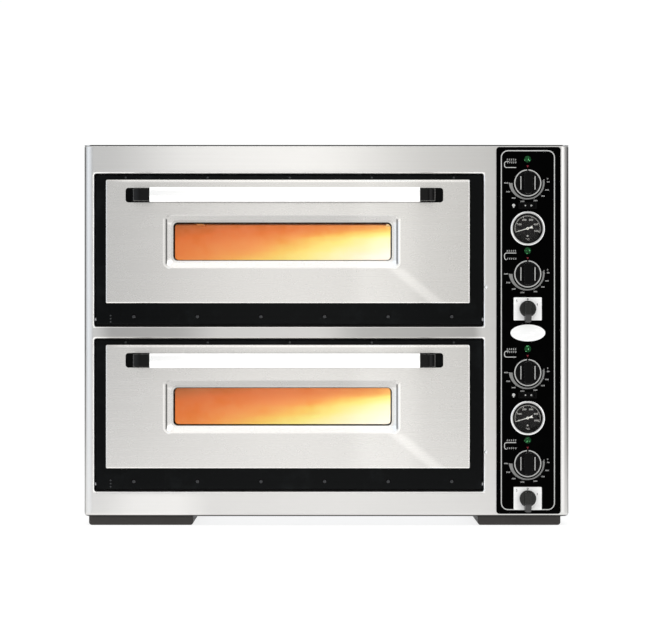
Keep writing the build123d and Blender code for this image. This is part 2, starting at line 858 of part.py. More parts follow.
def door_inner_panel(sill):
    """Chamber-side cover of the door, with the folded tunnel that holds the window's panes apart."""
    cover = slab(*door_outline(sill, sheet + 0.3), tray_back - sheet, tray_back, 1.0)
    pane_back = glass_front() + glass_thickness
    tunnel = slab(*window_outline(sill, glass_lap), pane_back, tray_back - sheet / 2, 3.0)
    tunnel -= slab(*window_outline(sill, glass_lap - tunnel_wall), front_y - 5, tray_back - sheet, 1.5)
    cover += tunnel
    return cover - slab(*window_outline(sill, -2), front_y, tray_back + 1, window_radius - 2)


def door_insulation(sill):
    """Wool pad that fills the tray round the window, with room for the hinges and screws."""
    pad = slab(*door_outline(sill, sheet + 1.0), tray_front + sheet + 8, tray_back - sheet, 1.0)
    pad -= slab(*window_outline(sill, glass_lap + 0.3), front_y - 5, tray_back + 1, 3.3)
    x0, x1, z0, _ = door_outline(sill)
    top = z0 + hinge_inset + hinge_plate_height + 3
    for xa, xb in ((x0, x0 + 45), (x1 - 45, x1)):
        pad -= block(xa, xb, front_y, tray_back, z0, top)
    return pad


def handle_bar(sill):
    """Stainless bar with a bowed front, open at both ends for the brackets' plugs."""
    x0, x1, z = bar_ends(sill)

    def profile(inset):
        """Section of the bar in a plane across X, inset from its surface."""
        half = bar_height / 2 - inset
        front, back = bar_front + inset, bar_front + bar_depth - inset
        shoulder = bar_front + 6.0
        plane = Plane(origin=(x0, 0, z), x_dir=(0, 1, 0), z_dir=(1, 0, 0))
        bow = ThreePointArc((shoulder, -half), (front, 0), (shoulder, half))
        rest = Polyline((shoulder, half), (back, half), (back, -half), (shoulder, -half))
        return plane * make_face(bow + rest)

    bar = extrude(profile(0), x1 - x0)
    long_edges = bar.edges().filter_by(Axis.X)
    bar = fillet(long_edges, 2.5)
    return bar - extrude(profile(bar_wall), x1 - x0)


def handle_brackets(sill):
    """Black plastic elbow at each end of the bar, footed on the tray behind the slot."""
    x0, x1, z = bar_ends(sill)
    found = []
    for end, side, reach in ((x0, -1, bracket_reaches[0]), (x1, 1, bracket_reaches[1])):
        outer = end + side * reach
        xa, xb = min(end, outer), max(end, outer)
        half = bracket_height / 2
        elbow = block(xa, xb, bar_front + 4, tray_front, z - half, z + half)
        turned = [
            e
            for e in edges_at(elbow, Axis.Y, bar_front + 4)
            if abs(e.center().X - outer) < 0.01
        ]
        elbow = fillet(turned, 16)
        ends = elbow.faces().sort_by(Axis.Z)
        elbow = fillet(ends[-1].edges() + ends[0].edges(), 1.6)
        plug_end = end - side * plug_length
        pa, pb = min(end, plug_end), max(end, plug_end)
        inset = bar_wall + 0.4
        plug = block(pa - 1, pb + 1, bar_front + 8, bar_front + bar_depth - inset, z - 9, z + 9)
        elbow += plug & block(pa - 0.5, pb + 0.5, -900, 900, -900, 1800)
        elbow -= rod_y((xa + xb) / 2, tray_front - 14, tray_front + 1, z, screw_radius)
        found.append(elbow)
    return found


def door_screws(sill):
    """Black screws of the hinge strip and the tray's rim, and those that hold the handle brackets."""
    found = []
    for x, z in strip_screws(sill) + rim_screws(sill):
        small = 1.0 if (x, z) in strip_screws(sill) else 0.62
        head = dome(screw_head_radius * small, 2.4 * small, 0) - Pos(0, 0, 2.0 * small) * Box(4, 0.9, 1.2)
        place = Pos(x, tray_front, z) * Rot(90, 0, 0)
        found.append(place * (head + disc(screw_radius, -sheet - 4, 0.2)))
    for x, z in spring_rivets(sill):
        place = Pos(x, tray_front, z) * Rot(90, 0, 0)
        found.append(place * (dome(2.0, 1.2, 0) + disc(rivet_radius, -sheet - 0.3, 0.2)))
    for x, z in bracket_screws(sill):
        place = Pos(x, tray_front + sheet, z) * Rot(-90, 0, 0)
        found.append(place * (disc(screw_head_radius, 0, 2.6) + disc(screw_radius, -12, 0.2)))
    return found


def hinge_sides(sill):
    """For each side of the door: its outer face in X and the direction towards the door's middle."""
    x0, x1, _, _ = door_outline(sill)
    return ((x0, 1), (x1, -1))


def door_hinge_plates(sill):
    """Steel plates inside the tray's sides that turn on the hinge pins."""
    found = []
    z = hinge_z(sill)
    for outer, inward in hinge_sides(sill):
        a = outer + inward * sheet
        b = a + inward * hinge_plate
        inset = hinge_inset - sheet - 2.0
        near, far = min(a, b), max(a, b)
        plate = block(near, far, hinge_y - inset, tray_back - sheet - 0.5, z - inset, z + hinge_plate_height)
        found.append(plate - rod_x(near - 1, far + 1, hinge_y, z, pin_radius + pin_clearance))
    return found


def hinge_pins(sill):
    """Shouldered pins: head outside the bracket, shank through to the spring inside the door."""
    found = []
    z = hinge_z(sill)
    for outer, inward in hinge_sides(sill):
        seat = outer - inward * (door_side_gap + 2 * sheet + bracket_plate)
        tip = outer + inward * (sheet + hinge_plate + 4 + spring_turns * spring_pitch)
        head = seat - inward * pin_head_length
        pin = rod_x(min(seat, tip), max(seat, tip), hinge_y, z, pin_radius)
        found.append(pin + rod_x(min(seat, head), max(seat, head), hinge_y, z, pin_head_radius))
    return found


def hinge_brackets(sill):
    """Bracket plates outside the door recess that hold the pins, tapped for the fascia's rivets."""
    found = []
    z = hinge_z(sill)
    for outer, inward in hinge_sides(sill):
        a = outer - inward * (door_side_gap + 2 * sheet)
        b = a - inward * bracket_plate
        plate = block(min(a, b), max(a, b), front_y + 2 * sheet, tray_back, z - 11, z + 74)
        plate -= rod_x(min(a, b) - 1, max(a, b) + 1, hinge_y, z, pin_radius)
        for rivet_x, rivet_z in rivet_points():
            plate -= rod_y(rivet_x, front_y, front_y + rivet_length, rivet_z, rivet_radius)
        found.append(plate)
    return found


def door_springs(sill):
    """Closing springs: coils round the hinge pins, with one leg along the tray's floor."""
    found = []
    z = hinge_z(sill)
    length = spring_turns * spring_pitch
    for outer, inward in hinge_sides(sill):
        start = outer + inward * (sheet + hinge_plate + 1 + spring_wire)
        coil = Helix(pitch=spring_pitch, height=length, radius=spring_radius)
        section = Plane(origin=coil @ 0, z_dir=coil % 0) * Circle(spring_wire)
        wire = sweep(section, path=coil, is_frenet=True)
        found.append(Pos(start, hinge_y, z) * Rot(0, inward * 90, 0) * wire)
    return found


# ---- Controls ------------------------------------------------------------------------------------
def control_panel():
    """Black panel with a hole for each control."""
    panel = slab(panel_x0, panel_x1, panel_z0, panel_z1, panel_front, front_y, panel_radius)
    panel = fillet(edges_at(panel, Axis.Y, panel_front), 0.8)
    for deck in rows.values():
        for name in ("knob_top", "knob_bottom", "switch"):
            panel -= rod_y(panel_x, panel_front - 1, front_y + 1, deck[name], shaft_radius + 2)
        for name in ("lamp_top", "lamp_bottom"):
            panel -= rod_y(panel_x, panel_front - 1, front_y + 1, deck[name], lamp_stem_radius)
        panel -= rod_y(panel_x, panel_front - 1, front_y + 1, deck["gauge"], gauge_case_radius)
        x0, x1, z0, z1 = rocker_barrel(deck["rocker"])
        panel -= slab(x0, x1, z0, z1, panel_front - 1, front_y + 1)
    return panel


def knob(z):
    """Thermostat knob: a thin skirt, a raised hub and a grip bar across it, bored for its shaft."""
    skirt = disc(knob_radius, knob_stand_off, knob_stand_off + 3.2)
    skirt = chamfer(skirt.edges().sort_by(Axis.Z)[-1], 1.0)
    hub = disc(knob_radius - 5, knob_stand_off + 3.2, 9.0)
    hub = fillet(hub.edges().sort_by(Axis.Z)[-1], 2.5)
    grip_outline = Pos(0, 0, 8.0) * SlotOverall(2 * knob_radius - 10, knob_grip_width, rotation=90)
    grip = extrude(grip_outline, knob_height - 8.0, taper=4)
    grip = fillet(grip.faces().sort_by(Axis.Z)[-1].edges(), 2.0)
    line = Pos(0, knob_radius - 10, knob_height) * Box(1.6, 9, 1.2)
    body = skirt + hub + grip - line
    return out_of_panel(z) * (body - disc(shaft_radius + shaft_clearance, 0, shaft_length + 1))


def thermostat(z):
    """Thermostat behind the panel, with the shaft that carries its knob."""
    width, height, depth = thermostat_case.values()
    case = Pos(0, 0, -panel_thickness - depth / 2) * Box(width, height, depth)
    case = fillet(case.edges().filter_by(Axis.Z), 3)
    shaft = disc(shaft_radius, -panel_thickness - 1, shaft_length)
    return out_of_panel(z) * (case + shaft)


def pilot_lamp(z):
    """Round lens on the panel with its lamp body behind."""
    lens = disc(lamp_lens_radius, 0, 1.6) + dome(lamp_lens_radius - 1.0, 2.8, 1.6)
    return out_of_panel(z) * (lens + disc(lamp_stem_radius, -24, 0))


def rocker_barrel(z):
    """Corners of the rocker frame's body where it passes the panel."""
    half_w = rocker_width / 2 - rocker_frame_wall
    half_h = rocker_height / 2 - 1.2
    return panel_x - half_w, panel_x + half_w, z - half_h, z + half_h


def rocker_size():
    """Width and height of the rocker itself."""
    x0, x1, z0, z1 = rocker_barrel(0)
    return x1 - x0 - 3.0 - 2 * rocker_end_gap, z1 - z0 - 2.4 - 2 * rocker_gap


def rocker_frame(z):
    """Frame of the chamber light switch, with an open well for the rocker."""
    rim = extrude(RectangleRounded(rocker_width, rocker_height, 1.5), 1.8)
    rim = fillet(rim.faces().sort_by(Axis.Z)[-1].edges(), 0.8)
    x0, x1, z0, z1 = rocker_barrel(0)
    barrel = Pos(0, 0, -rocker_body / 2) * Box(x1 - x0, z1 - z0, rocker_body)
    width, height = rocker_size()
    well = Box(width + 2 * rocker_end_gap, height + 2 * rocker_gap, 2 * rocker_body - 6)
    pivots = Pos(0, 0, -rocker_pivot_depth) * Rot(90, 0, 0) * Cylinder(1.06, z1 - z0 - 0.8)
    return out_of_panel(z) * (rim + barrel - well - pivots)


def rocker(z):
    """Light switch rocker at its off position, on two small pivots."""
    width, height = rocker_size()
    half = width / 2
    low = rocker_valley + half * math.tan(math.radians(rocker_slope))
    high = rocker_valley + half * math.tan(math.radians(rocker_slope + rocker_throw))
    points = [(-half, low), (0, rocker_valley), (half, high), (half - 2, -4.5), (2 - half, -4.5)]
    face = Plane.XZ * make_face(Polyline(*points, close=True))
    paddle = Pos(0, height / 2, 0) * extrude(face, height)
    pivots = Pos(0, 0, -rocker_pivot_depth) * Rot(90, 0, 0) * Cylinder(1.0, height + 2 * rocker_gap + 1.4)
    return out_of_panel(z) * (paddle + pivots)


def gauge_case(z):
    """Thermometer case behind the panel with its polished rim in front."""
    case = disc(gauge_case_radius, -gauge_case_depth, 0.5)
    case += disc(7, -gauge_case_depth - 10, -gauge_case_depth)
    rim = disc(gauge_radius, 0, 5.0)
    rim = fillet(rim.edges().sort_by(Axis.Z)[-1], 2.2)
    cup = disc(gauge_case_radius - gauge_wall, -3.0, 3.7)
    mouth = disc(gauge_case_radius - gauge_wall - 1.2, 3.6, 6.0)
    return out_of_panel(z) * (case + rim - cup - mouth)


def gauge_dial(z):
    """Dial plate of the thermometer with the spindle that carries its needle."""
    plate = disc(gauge_case_radius - gauge_wall, -3.0, -2.0)
    return out_of_panel(z) * (plate + disc(0.8, -2.5, 1.6))


def gauge_lens(z):
    """Flat glass of the thermometer."""
    return out_of_panel(z) * disc(gauge_case_radius - gauge_wall, 2.2, 3.7)


def gauge_needle(z):
    """Needle at the cold end of the scale, pointed at one end and with a short arrow tail."""
    tip = gauge_case_radius - 6.5
    shape = make_face(Polyline((-5, 1.0), (tip, 0.35), (tip, -0.35), (-5, -1.0), close=True))
    tail = make_face(Polyline((-4, 1.0), (-10.5, 3.0), (-9.5, 0), (-10.5, -3.0), (-4, -1.0), close=True))
    needle = extrude(shape + tail + Circle(2.6), 0.7) - disc(0.86, -1, 2)
    return out_of_panel(z) * Rot(0, 0, gauge_start_angle) * Pos(0, 0, -0.8) * needle


def switch_plate(z):
    """White plate under a main switch."""
    plate = extrude(RectangleRounded(switch_plate_width, switch_plate_height, 1.5), 2.0)
    plate = chamfer(plate.faces().sort_by(Axis.Z)[-1].edges(), 0.5)
    return out_of_panel(z) * (plate - disc(shaft_radius + 2, -1, 3))


def switch_body(z):
    """Cam switch behind the panel, with the shaft that carries its handle."""
    width, height, depth = switch_case.values()
    case = Pos(0, 0, -panel_thickness - depth / 2) * Box(width, height, depth)
    return out_of_panel(z) * (case + disc(shaft_radius, -panel_thickness - 1, shaft_length))


def switch_handle(z):
    """Main switch handle: a round boss with a lever across it that points down to its tail."""
    boss = disc(switch_boss_radius, 2.6, 12)
    boss = fillet(boss.edges().sort_by(Axis.Z)[-1], 2.5)
    top = switch_boss_radius - 2
    length = switch_lever_reach + top
    lever = Pos(0, (top - switch_lever_reach) / 2, 2.6) * extrude(
        RectangleRounded(switch_lever_width, length, 4.5), 21, taper=3
    )
    lever = fillet(lever.faces().sort_by(Axis.Z)[-1].edges(), 2.0)
    mark = Pos(0, top - 5, 23.6) * Box(1.8, 7, 1.4)
    bore = disc(shaft_radius + shaft_clearance, 0, shaft_length + 1)
    return out_of_panel(z) * (boss + lever - mark - bore)


def terminal_block():
    """Mains terminal block on the partition, near the cable entry."""
    x = partition_x + sheet
    base = block(x, x + 22, back_y - 170, back_y - 80, 90, 118)
    for y in spread(back_y - 160, back_y - 90, 6):
        base -= Pos(x + 22, y, 104) * Rot(0, 90, 0) * Cylinder(4, 16)
    return base


# ---- Writing the nodes ---------------------------------------------------------------------------
def casing_nodes():
    """Casing, base and back."""
    return {
        "front_fascia": front_fascia(),
        "left_side_panel": side_panel("left"),
        "right_side_panel": side_panel("right"),
        "top_panel": top_panel(),
        "back_panel": back_panel(),
        "base_pan": base_pan(),
        "control_partition": control_partition(),
        "base_runners": [base_runner("left"), base_runner("right")],
        "casing_screws": casing_screws(),
        "steam_outlets": steam_outlets(),
        "cable_gland": cable_gland(),
        "insulation": insulation(),
        "terminal_block": terminal_block(),
    }


def chamber_nodes():
    """What each deck holds inside the casing."""
    nodes = {}
    for name, sill in sills.items():
        nodes[f"{name}_chamber_liner"] = chamber_liner(sill)
    nodes["baking_stones"] = [tile for s in sills.values() for tile in baking_stones(s)]
    nodes["bottom_heating_elements"] = [heating_element(element_heights(s)[0]) for s in sills.values()]
    nodes["top_heating_elements"] = [heating_element(element_heights(s)[1]) for s in sills.values()]
    nodes["chamber_lamps"] = [chamber_lamp(s) for s in sills.values()]
    nodes["hinge_pins"] = [pin for s in sills.values() for pin in hinge_pins(s)]
    nodes["hinge_brackets"] = [plate for s in sills.values() for plate in hinge_brackets(s)]
    return nodes


def door_nodes():
    """The two doors."""
    nodes = {}
    for name, sill in sills.items():
        nodes[f"{name}_door_tray"] = door_tray(sill)
        nodes[f"{name}_door_face_panel"] = door_face_panel(sill)
        nodes[f"{name}_door_inner_panel"] = door_inner_panel(sill)
        nodes[f"{name}_door_window_panes"] = window_panes(sill)
        nodes[f"{name}_door_insulation"] = door_insulation(sill)
        nodes[f"{name}_door_handle_bar"] = handle_bar(sill)
        nodes[f"{name}_door_handle_brackets"] = handle_brackets(sill)
        nodes[f"{name}_door_screws"] = door_screws(sill)
        nodes[f"{name}_door_hinge_plates"] = door_hinge_plates(sill)
        nodes[f"{name}_door_springs"] = door_springs(sill)
    return nodes


def control_nodes():
    """The control panel and everything on it."""
    nodes = {"control_panel": control_panel()}
    for name, deck in rows.items():
        nodes[f"{name}_deck_top_heat_knob"] = knob(deck["knob_top"])
        nodes[f"{name}_deck_bottom_heat_knob"] = knob(deck["knob_bottom"])
        nodes[f"{name}_deck_light_rocker"] = rocker(deck["rocker"])
        nodes[f"{name}_deck_thermometer_needle"] = gauge_needle(deck["gauge"])
        nodes[f"{name}_deck_main_switch_handle"] = switch_handle(deck["switch"])
    decks = rows.values()
    nodes["thermostats"] = [thermostat(d[k]) for d in decks for k in ("knob_top", "knob_bottom")]
    nodes["pilot_lamps"] = [pilot_lamp(d[k]) for d in decks for k in ("lamp_top", "lamp_bottom")]
    nodes["light_switch_frames"] = [rocker_frame(d["rocker"]) for d in decks]
    nodes["thermometer_cases"] = [gauge_case(d["gauge"]) for d in decks]
    nodes["thermometer_dials"] = [gauge_dial(d["gauge"]) for d in decks]
    nodes["thermometer_lenses"] = [gauge_lens(d["gauge"]) for d in decks]
    nodes["main_switch_plates"] = [switch_plate(d["switch"]) for d in decks]
    nodes["main_switch_bodies"] = [switch_body(d["switch"]) for d in decks]
    return nodes


def main():
    """Build every node and write its STEP file."""
    os.makedirs("parts", exist_ok=True)
    for group in (casing_nodes, chamber_nodes, door_nodes, control_nodes):
        for node, shape in group().items():
            save(shape, node)


main()
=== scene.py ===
"""Looks for a double-deck countertop oven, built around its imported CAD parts.

Every CAD part gets a procedural finish. The prints, the dial faces and the bare badge are thin meshes that
ride on the part that carries them. A studio with a floor, light cards and a long lens stands round the oven.
"""

import logging
import math
from collections.abc import Callable
from dataclasses import dataclass
from enum import Enum, StrEnum

import bmesh
import bpy
from mathutils import Matrix, Vector


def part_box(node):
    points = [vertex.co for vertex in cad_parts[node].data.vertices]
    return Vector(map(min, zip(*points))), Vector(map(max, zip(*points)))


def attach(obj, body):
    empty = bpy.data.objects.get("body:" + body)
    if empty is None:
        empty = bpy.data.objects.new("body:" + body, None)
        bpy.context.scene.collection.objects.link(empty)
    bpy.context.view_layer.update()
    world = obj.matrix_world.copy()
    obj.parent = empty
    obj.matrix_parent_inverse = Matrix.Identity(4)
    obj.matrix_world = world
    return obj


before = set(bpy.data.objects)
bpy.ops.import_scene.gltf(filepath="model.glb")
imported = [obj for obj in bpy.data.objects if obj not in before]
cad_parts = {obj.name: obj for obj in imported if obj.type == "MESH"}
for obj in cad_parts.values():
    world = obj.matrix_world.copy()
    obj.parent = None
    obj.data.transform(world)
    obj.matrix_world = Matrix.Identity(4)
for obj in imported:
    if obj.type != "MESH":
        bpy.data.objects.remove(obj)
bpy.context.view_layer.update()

LOG = logging.getLogger("oven")
MM = 0.001

Colour = tuple[float, float, float]
Place = tuple[float, float, float]
Point = tuple[float, float]
Outline = tuple[Point, ...]
Stops = list[tuple[float, Colour]]
LEVEL: Place = (0.0, 0.0, 0.0)
WHITE: Colour = (1.0, 1.0, 1.0)


def grey(brightness: float) -> Colour:
    """Returns a neutral colour."""
    return brightness, brightness, brightness


def scaled(colour: Colour, share: float) -> Colour:
    """Returns a colour with every channel multiplied."""
    red, green, blue = colour
    return share * red, share * green, share * blue


def linear(red: int, green: int, blue: int) -> Colour:
    """Turns a display colour of 0 to 255 a channel into the linear colour that shaders use."""

    def channel(value: int) -> float:
        """One channel."""
        share = value / 255
        return share / 12.92 if share <= 0.04045 else ((share + 0.055) / 1.055) ** 2.4

    return channel(red), channel(green), channel(blue)


# Shader maths


class Signal:
    """A node socket that adds Math nodes when it takes part in arithmetic."""

    def __init__(self, graph: "Graph", socket: bpy.types.NodeSocket) -> None:
        """Wraps one output socket of a graph."""
        self.graph = graph
        self.socket = socket

    def _math(self, operation: str, first: "Signal | float", second: "Signal | float") -> "Signal":
        """Adds one Math node and returns its result."""
        return self.graph.signal("ShaderNodeMath", {"operation": operation}, {0: first, 1: second})

    def __add__(self, other: "Signal | float") -> "Signal":
        """Sum."""
        return self._math("ADD", self, other)

    def __radd__(self, other: float) -> "Signal":
        """Sum with a number on the left."""
        return self._math("ADD", other, self)

    def __sub__(self, other: "Signal | float") -> "Signal":
        """Difference."""
        return self._math("SUBTRACT", self, other)

    def __rsub__(self, other: float) -> "Signal":
        """Difference with a number on the left."""
        return self._math("SUBTRACT", other, self)

    def __mul__(self, other: "Signal | float") -> "Signal":
        """Product."""
        return self._math("MULTIPLY", self, other)

    def __rmul__(self, other: float) -> "Signal":
        """Product with a number on the left."""
        return self._math("MULTIPLY", other, self)

    def __truediv__(self, other: "Signal | float") -> "Signal":
        """Quotient."""
        return self._math("DIVIDE", self, other)

    def __pow__(self, power: float) -> "Signal":
        """Power."""
        return self._math("POWER", self, power)

    def larger(self, other: "Signal | float") -> "Signal":
        """The larger of two values."""
        return self._math("MAXIMUM", self, other)

    def distance(self, centre: float) -> "Signal":
        """Distance from a number."""
        return self._math("ABSOLUTE", self - centre, 0.0)

    def step(self, low: float, high: float) -> "Signal":
        """Smooth step that is 0 at low and 1 at high."""
        span = {"Value": self, "From Min": low, "From Max": high}
        return self.graph.signal("ShaderNodeMapRange", {"interpolation_type": "SMOOTHSTEP"}, span)

    def fade(self, low: float, high: float) -> "Signal":
        """Smooth step that is 1 at low and 0 at high."""
        return 1.0 - self.step(low, high)

    def near(self, centre: float, full: float, none: float) -> "Signal":
        """Signal of 1 within full of a number, which fades to 0 at none away from it."""
        return self.distance(centre).fade(full, none)


class Graph:
    """The node tree of one material or of the world."""

    def __init__(self, tree: bpy.types.NodeTree) -> None:
        """Empties the tree."""
        self.tree = tree
        tree.nodes.clear()

    def node(self, kind: str, settings: dict | None = None, values: dict | None = None) -> bpy.types.Node:
        """Adds a node of any type.

        Args:
            kind: Blender's name for the node's type.
            settings: The node's own settings, set first; "stops" holds a ramp's (position, colour) pairs.
            values: A number, colour or Signal for each input socket, by name or by index.

        Returns:
            The node.
        """
        node = self.tree.nodes.new(kind)
        for name, value in (settings or {}).items():
            if name == "stops":
                for index, (position, colour) in enumerate(value):
                    stops = node.color_ramp.elements
                    stop = stops[index] if index < 2 else stops.new(position)
                    stop.position = position
                    stop.color = (*colour, 1.0)
            else:
                setattr(node, name, value)
        for key, value in (values or {}).items():
            socket = node.inputs[key]
            if isinstance(value, Signal):
                self.tree.links.new(value.socket, socket)
            elif isinstance(value, tuple) and len(value) == 3 and len(socket.default_value) == 4:
                socket.default_value = (*value, 1.0)
            else:
                socket.default_value = value
        return node

    def signal(
        self, kind: str, settings: dict | None = None, values: dict | None = None, output: int | str = 0
    ) -> Signal:
        """Adds a node and returns one of its outputs."""
        return Signal(self, self.node(kind, settings, values).outputs[output])

    def place(self, scale: float | Place, turn: Place = LEVEL) -> Signal:
        """Returns the place on the part in metres, stretched by scale and turned by angles in radians."""
        scale = scale if isinstance(scale, tuple) else (scale, scale, scale)
        metres = self.signal("ShaderNodeTexCoord", output="Object")
        return self.signal("ShaderNodeMapping", None, {"Vector": metres, "Rotation": turn, "Scale": scale})

    def axes(self) -> tuple[Signal, Signal, Signal]:
        """Returns the place on the part in metres as three numbers."""
        metres = self.signal("ShaderNodeTexCoord", output="Object")
        split = self.node("ShaderNodeSeparateXYZ", None, {"Vector": metres})
        x, y, z = (Signal(self, output) for output in split.outputs)
        return x, y, z

    def noise(self, scale: float | Place, detail: float, roughness: float, turn: Place = LEVEL) -> Signal:
        """Returns a noise value around 0.5, with scale in cycles per metre, for each axis or for all."""
        return self.signal(
            "ShaderNodeTexNoise",
            None,
            {"Vector": self.place(scale, turn), "Scale": 1.0, "Detail": detail, "Roughness": roughness},
        )

    def cells(self, scale: float, output: str = "Distance") -> Signal:
        """Returns a Voronoi cell value, with scale in cells per metre."""
        values = {"Vector": self.place(scale), "Scale": 1.0}
        return self.signal("ShaderNodeTexVoronoi", None, values, output)

    def ramp(self, value: Signal, stops: Stops) -> Signal:
        """Returns the colour that a value has on a ramp of stops."""
        return self.signal("ShaderNodeValToRGB", {"stops": stops}, {"Fac": value}, "Color")

    def mix(self, first: "Signal | Colour", second: "Signal | Colour", share: Signal) -> Signal:
        """Mixes two colours, with share of the second."""
        return self.signal("ShaderNodeMix", {"data_type": "RGBA"}, {0: share, 6: first, 7: second}, 2)

    def shaded(self, colour: "Signal | Colour", factor: Signal) -> Signal:
        """Multiplies a colour by a number that varies over the surface."""
        grey = self.signal("ShaderNodeCombineXYZ", None, {0: factor, 1: factor, 2: factor})
        return self.signal("ShaderNodeVectorMath", {"operation": "MULTIPLY"}, {0: colour, 1: grey})

    def bump(self, height: Signal, depth: float, strength: float) -> Signal:
        """Returns a normal that is bumped by a height of 0 to 1 times depth in metres."""
        values = {"Strength": strength, "Distance": depth, "Height": height}
        return self.signal("ShaderNodeBump", None, values, "Normal")

    def surface(self, values: dict) -> None:
        """Ends a material in one Principled shader with these socket values."""
        shader = self.signal("ShaderNodeBsdfPrincipled", None, values)
        self.node("ShaderNodeOutputMaterial", None, {"Surface": shader})


def blank_material(name: str) -> tuple[bpy.types.Material, Graph]:
    """Makes a material with an empty node tree."""
    made = bpy.data.materials.new(name)
    made.use_nodes = True
    return made, Graph(made.node_tree)


def stand(name: str, data: bpy.types.ID) -> bpy.types.Object:
    """Makes an object from its data and links it to the scene."""
    made = bpy.data.objects.new(name, data)
    bpy.context.scene.collection.objects.link(made)
    return made


# Finishes


class Grain(Enum):
    """Which way a sheet was brushed, as whether the streaks run along x, y and z."""

    ALONG_X = (True, False, False)
    ALONG_Y = (False, True, False)

    def scale(self, fineness: float, length: float) -> Place:
        """Returns the noise scale for streaks that are fine across and long along the grain."""
        x, y, z = (length if along else fineness for along in self.value)
        return x, y, z


@dataclass(frozen=True)
class Finish:
    """A finish with a name; each kind of finish paints its own nodes."""

    name: str

    def paint(self, graph: Graph) -> None:
        """Adds the finish's nodes to a graph."""
        raise NotImplementedError

    def material(self) -> bpy.types.Material:
        """Returns the Blender material, which is made once."""
        known = bpy.data.materials.get(self.name)
        if known is not None and known.get("oven_finish"):
            return known
        made, graph = blank_material(self.name)
        made["oven_finish"] = True
        self.paint(graph)
        return made


@dataclass(frozen=True)
class BrushedSteel(Finish):
    """Brushed stainless sheet: long streaks, soft clouds and finger marks."""

    tint: Colour = (0.66, 0.665, 0.67)
    roughness: float = 0.30
    grain: Grain = Grain.ALONG_X
    streaks: float = 0.10
    clouds: float = 0.05
    relief: float = 1.4e-5
    # painted light: a glow of the steel's own, though it is no lamp
    lift: float = 0.0

    def shade(self, graph: Graph) -> Signal | None:
        """Returns a factor of painted light and shade over the sheet's tint, or None."""
        return None

    def paint(self, graph: Graph) -> None:
        """Adds the steel's nodes."""
        coarse = graph.noise(self.grain.scale(180.0, 2.5), 3.0, 0.6)
        fine = graph.noise(self.grain.scale(900.0, 6.0), 2.0, 0.7)
        cloud = graph.noise(5.0, 2.0, 0.5)
        marks = graph.noise(38.0, 4.0, 0.62)
        line = coarse * 0.6 + fine * 0.4 - 0.5
        factor = 1.0 + line * self.streaks + (cloud - 0.5) * self.clouds
        # painted light and shade drawn by the subclass, multiplied into the tint
        painted_shading = self.shade(graph)
        if painted_shading is not None:
            factor = factor * painted_shading
        rough = self.roughness + line * 0.07 + marks.step(0.52, 0.70) * 0.015
        graph.surface(
            {
                "Base Color": graph.shaded(self.tint, factor),
                "Metallic": 1.0,
                "Roughness": rough,
                # painted light: the steel's own glow, which brightens it towards white
                "Emission Color": WHITE,
                "Emission Strength": self.lift,
                "Normal": graph.bump(coarse * 0.3 + fine * 0.7, self.relief, 0.3),
            }
        )


@dataclass(frozen=True)
class FasciaSteel(BrushedSteel):
    """Front sheet steel with painted shade between the doors and at foot and edges, and painted highlights.

    Places are metres from the oven's middle and its foot. A pair says where a change starts and ends. Gains
    and losses are shares of the tint.
    """

    strip_z: float = 0.3775
    strip_half: float = 0.017
    strip_left: Point = (-0.458, -0.417)
    strip_right: Point = (0.285, 0.309)
    strip_loss: float = 0.28
    middle_x: float = -0.110
    opening_x: float = -0.0735
    opening_half: Point = (0.381, 0.1495)
    opening_rise: float = 0.1615
    lip_gain: float = 0.42
    head_z: Point = (0.685, 0.700)
    head_left: Point = (-0.44, -0.26)
    head_right: Point = (-0.05, 0.22)
    head_gain: float = 0.27
    glint_x: float = -0.335
    glint_z: Point = (0.055, 0.070)
    glint_gain: float = 0.18
    foot: Point = (0.0196, 0.0208)
    foot_loss: float = 0.90
    edge: Point = (0.4723, 0.4735)
    edge_loss: float = 0.82

    def shade(self, graph: Graph) -> Signal:
        """Returns the painted shade and the painted highlights on the lips, the top band and low on the left.
        """
        x, _, z = graph.axes()
        strip = z.near(self.strip_z, self.strip_half, self.strip_half * 2.2)
        between = x.step(*self.strip_left)
        between = between * x.fade(*self.strip_right)
        aside = x.distance(self.opening_x) - self.opening_half[0]
        rise = (z.distance(self.strip_z) - self.opening_rise).distance(0.0) - self.opening_half[1]
        # painted highlight on the bends of the openings' lips
        lip_highlight = aside.larger(rise).fade(0.0016, 0.0036)
        # painted shadow of the gap along the foot
        ground = z.step(*self.foot)
        # painted shade on the rounded side edges
        edge = x.distance(0.0).step(*self.edge)
        middle = x.near(self.middle_x, 0.09, 0.19)
        # painted shade on the strip between the two doors, lighter near the middle
        strip_shade = strip * between * self.strip_loss * (1.3 - middle * 0.85)
        # painted highlight on the top band
        head_highlight = z.step(*self.head_z) * x.step(*self.head_left) * x.fade(*self.head_right)
        # painted glint low on the left
        glint = z.fade(*self.glint_z) * x.near(self.glint_x, 0.03, 0.12)
        factor = 1.0 - strip_shade + lip_highlight * self.lip_gain + head_highlight * self.head_gain + glint * self.glint_gain
        return factor * (1.0 - self.foot_loss + ground * self.foot_loss) * (1.0 - edge * self.edge_loss)


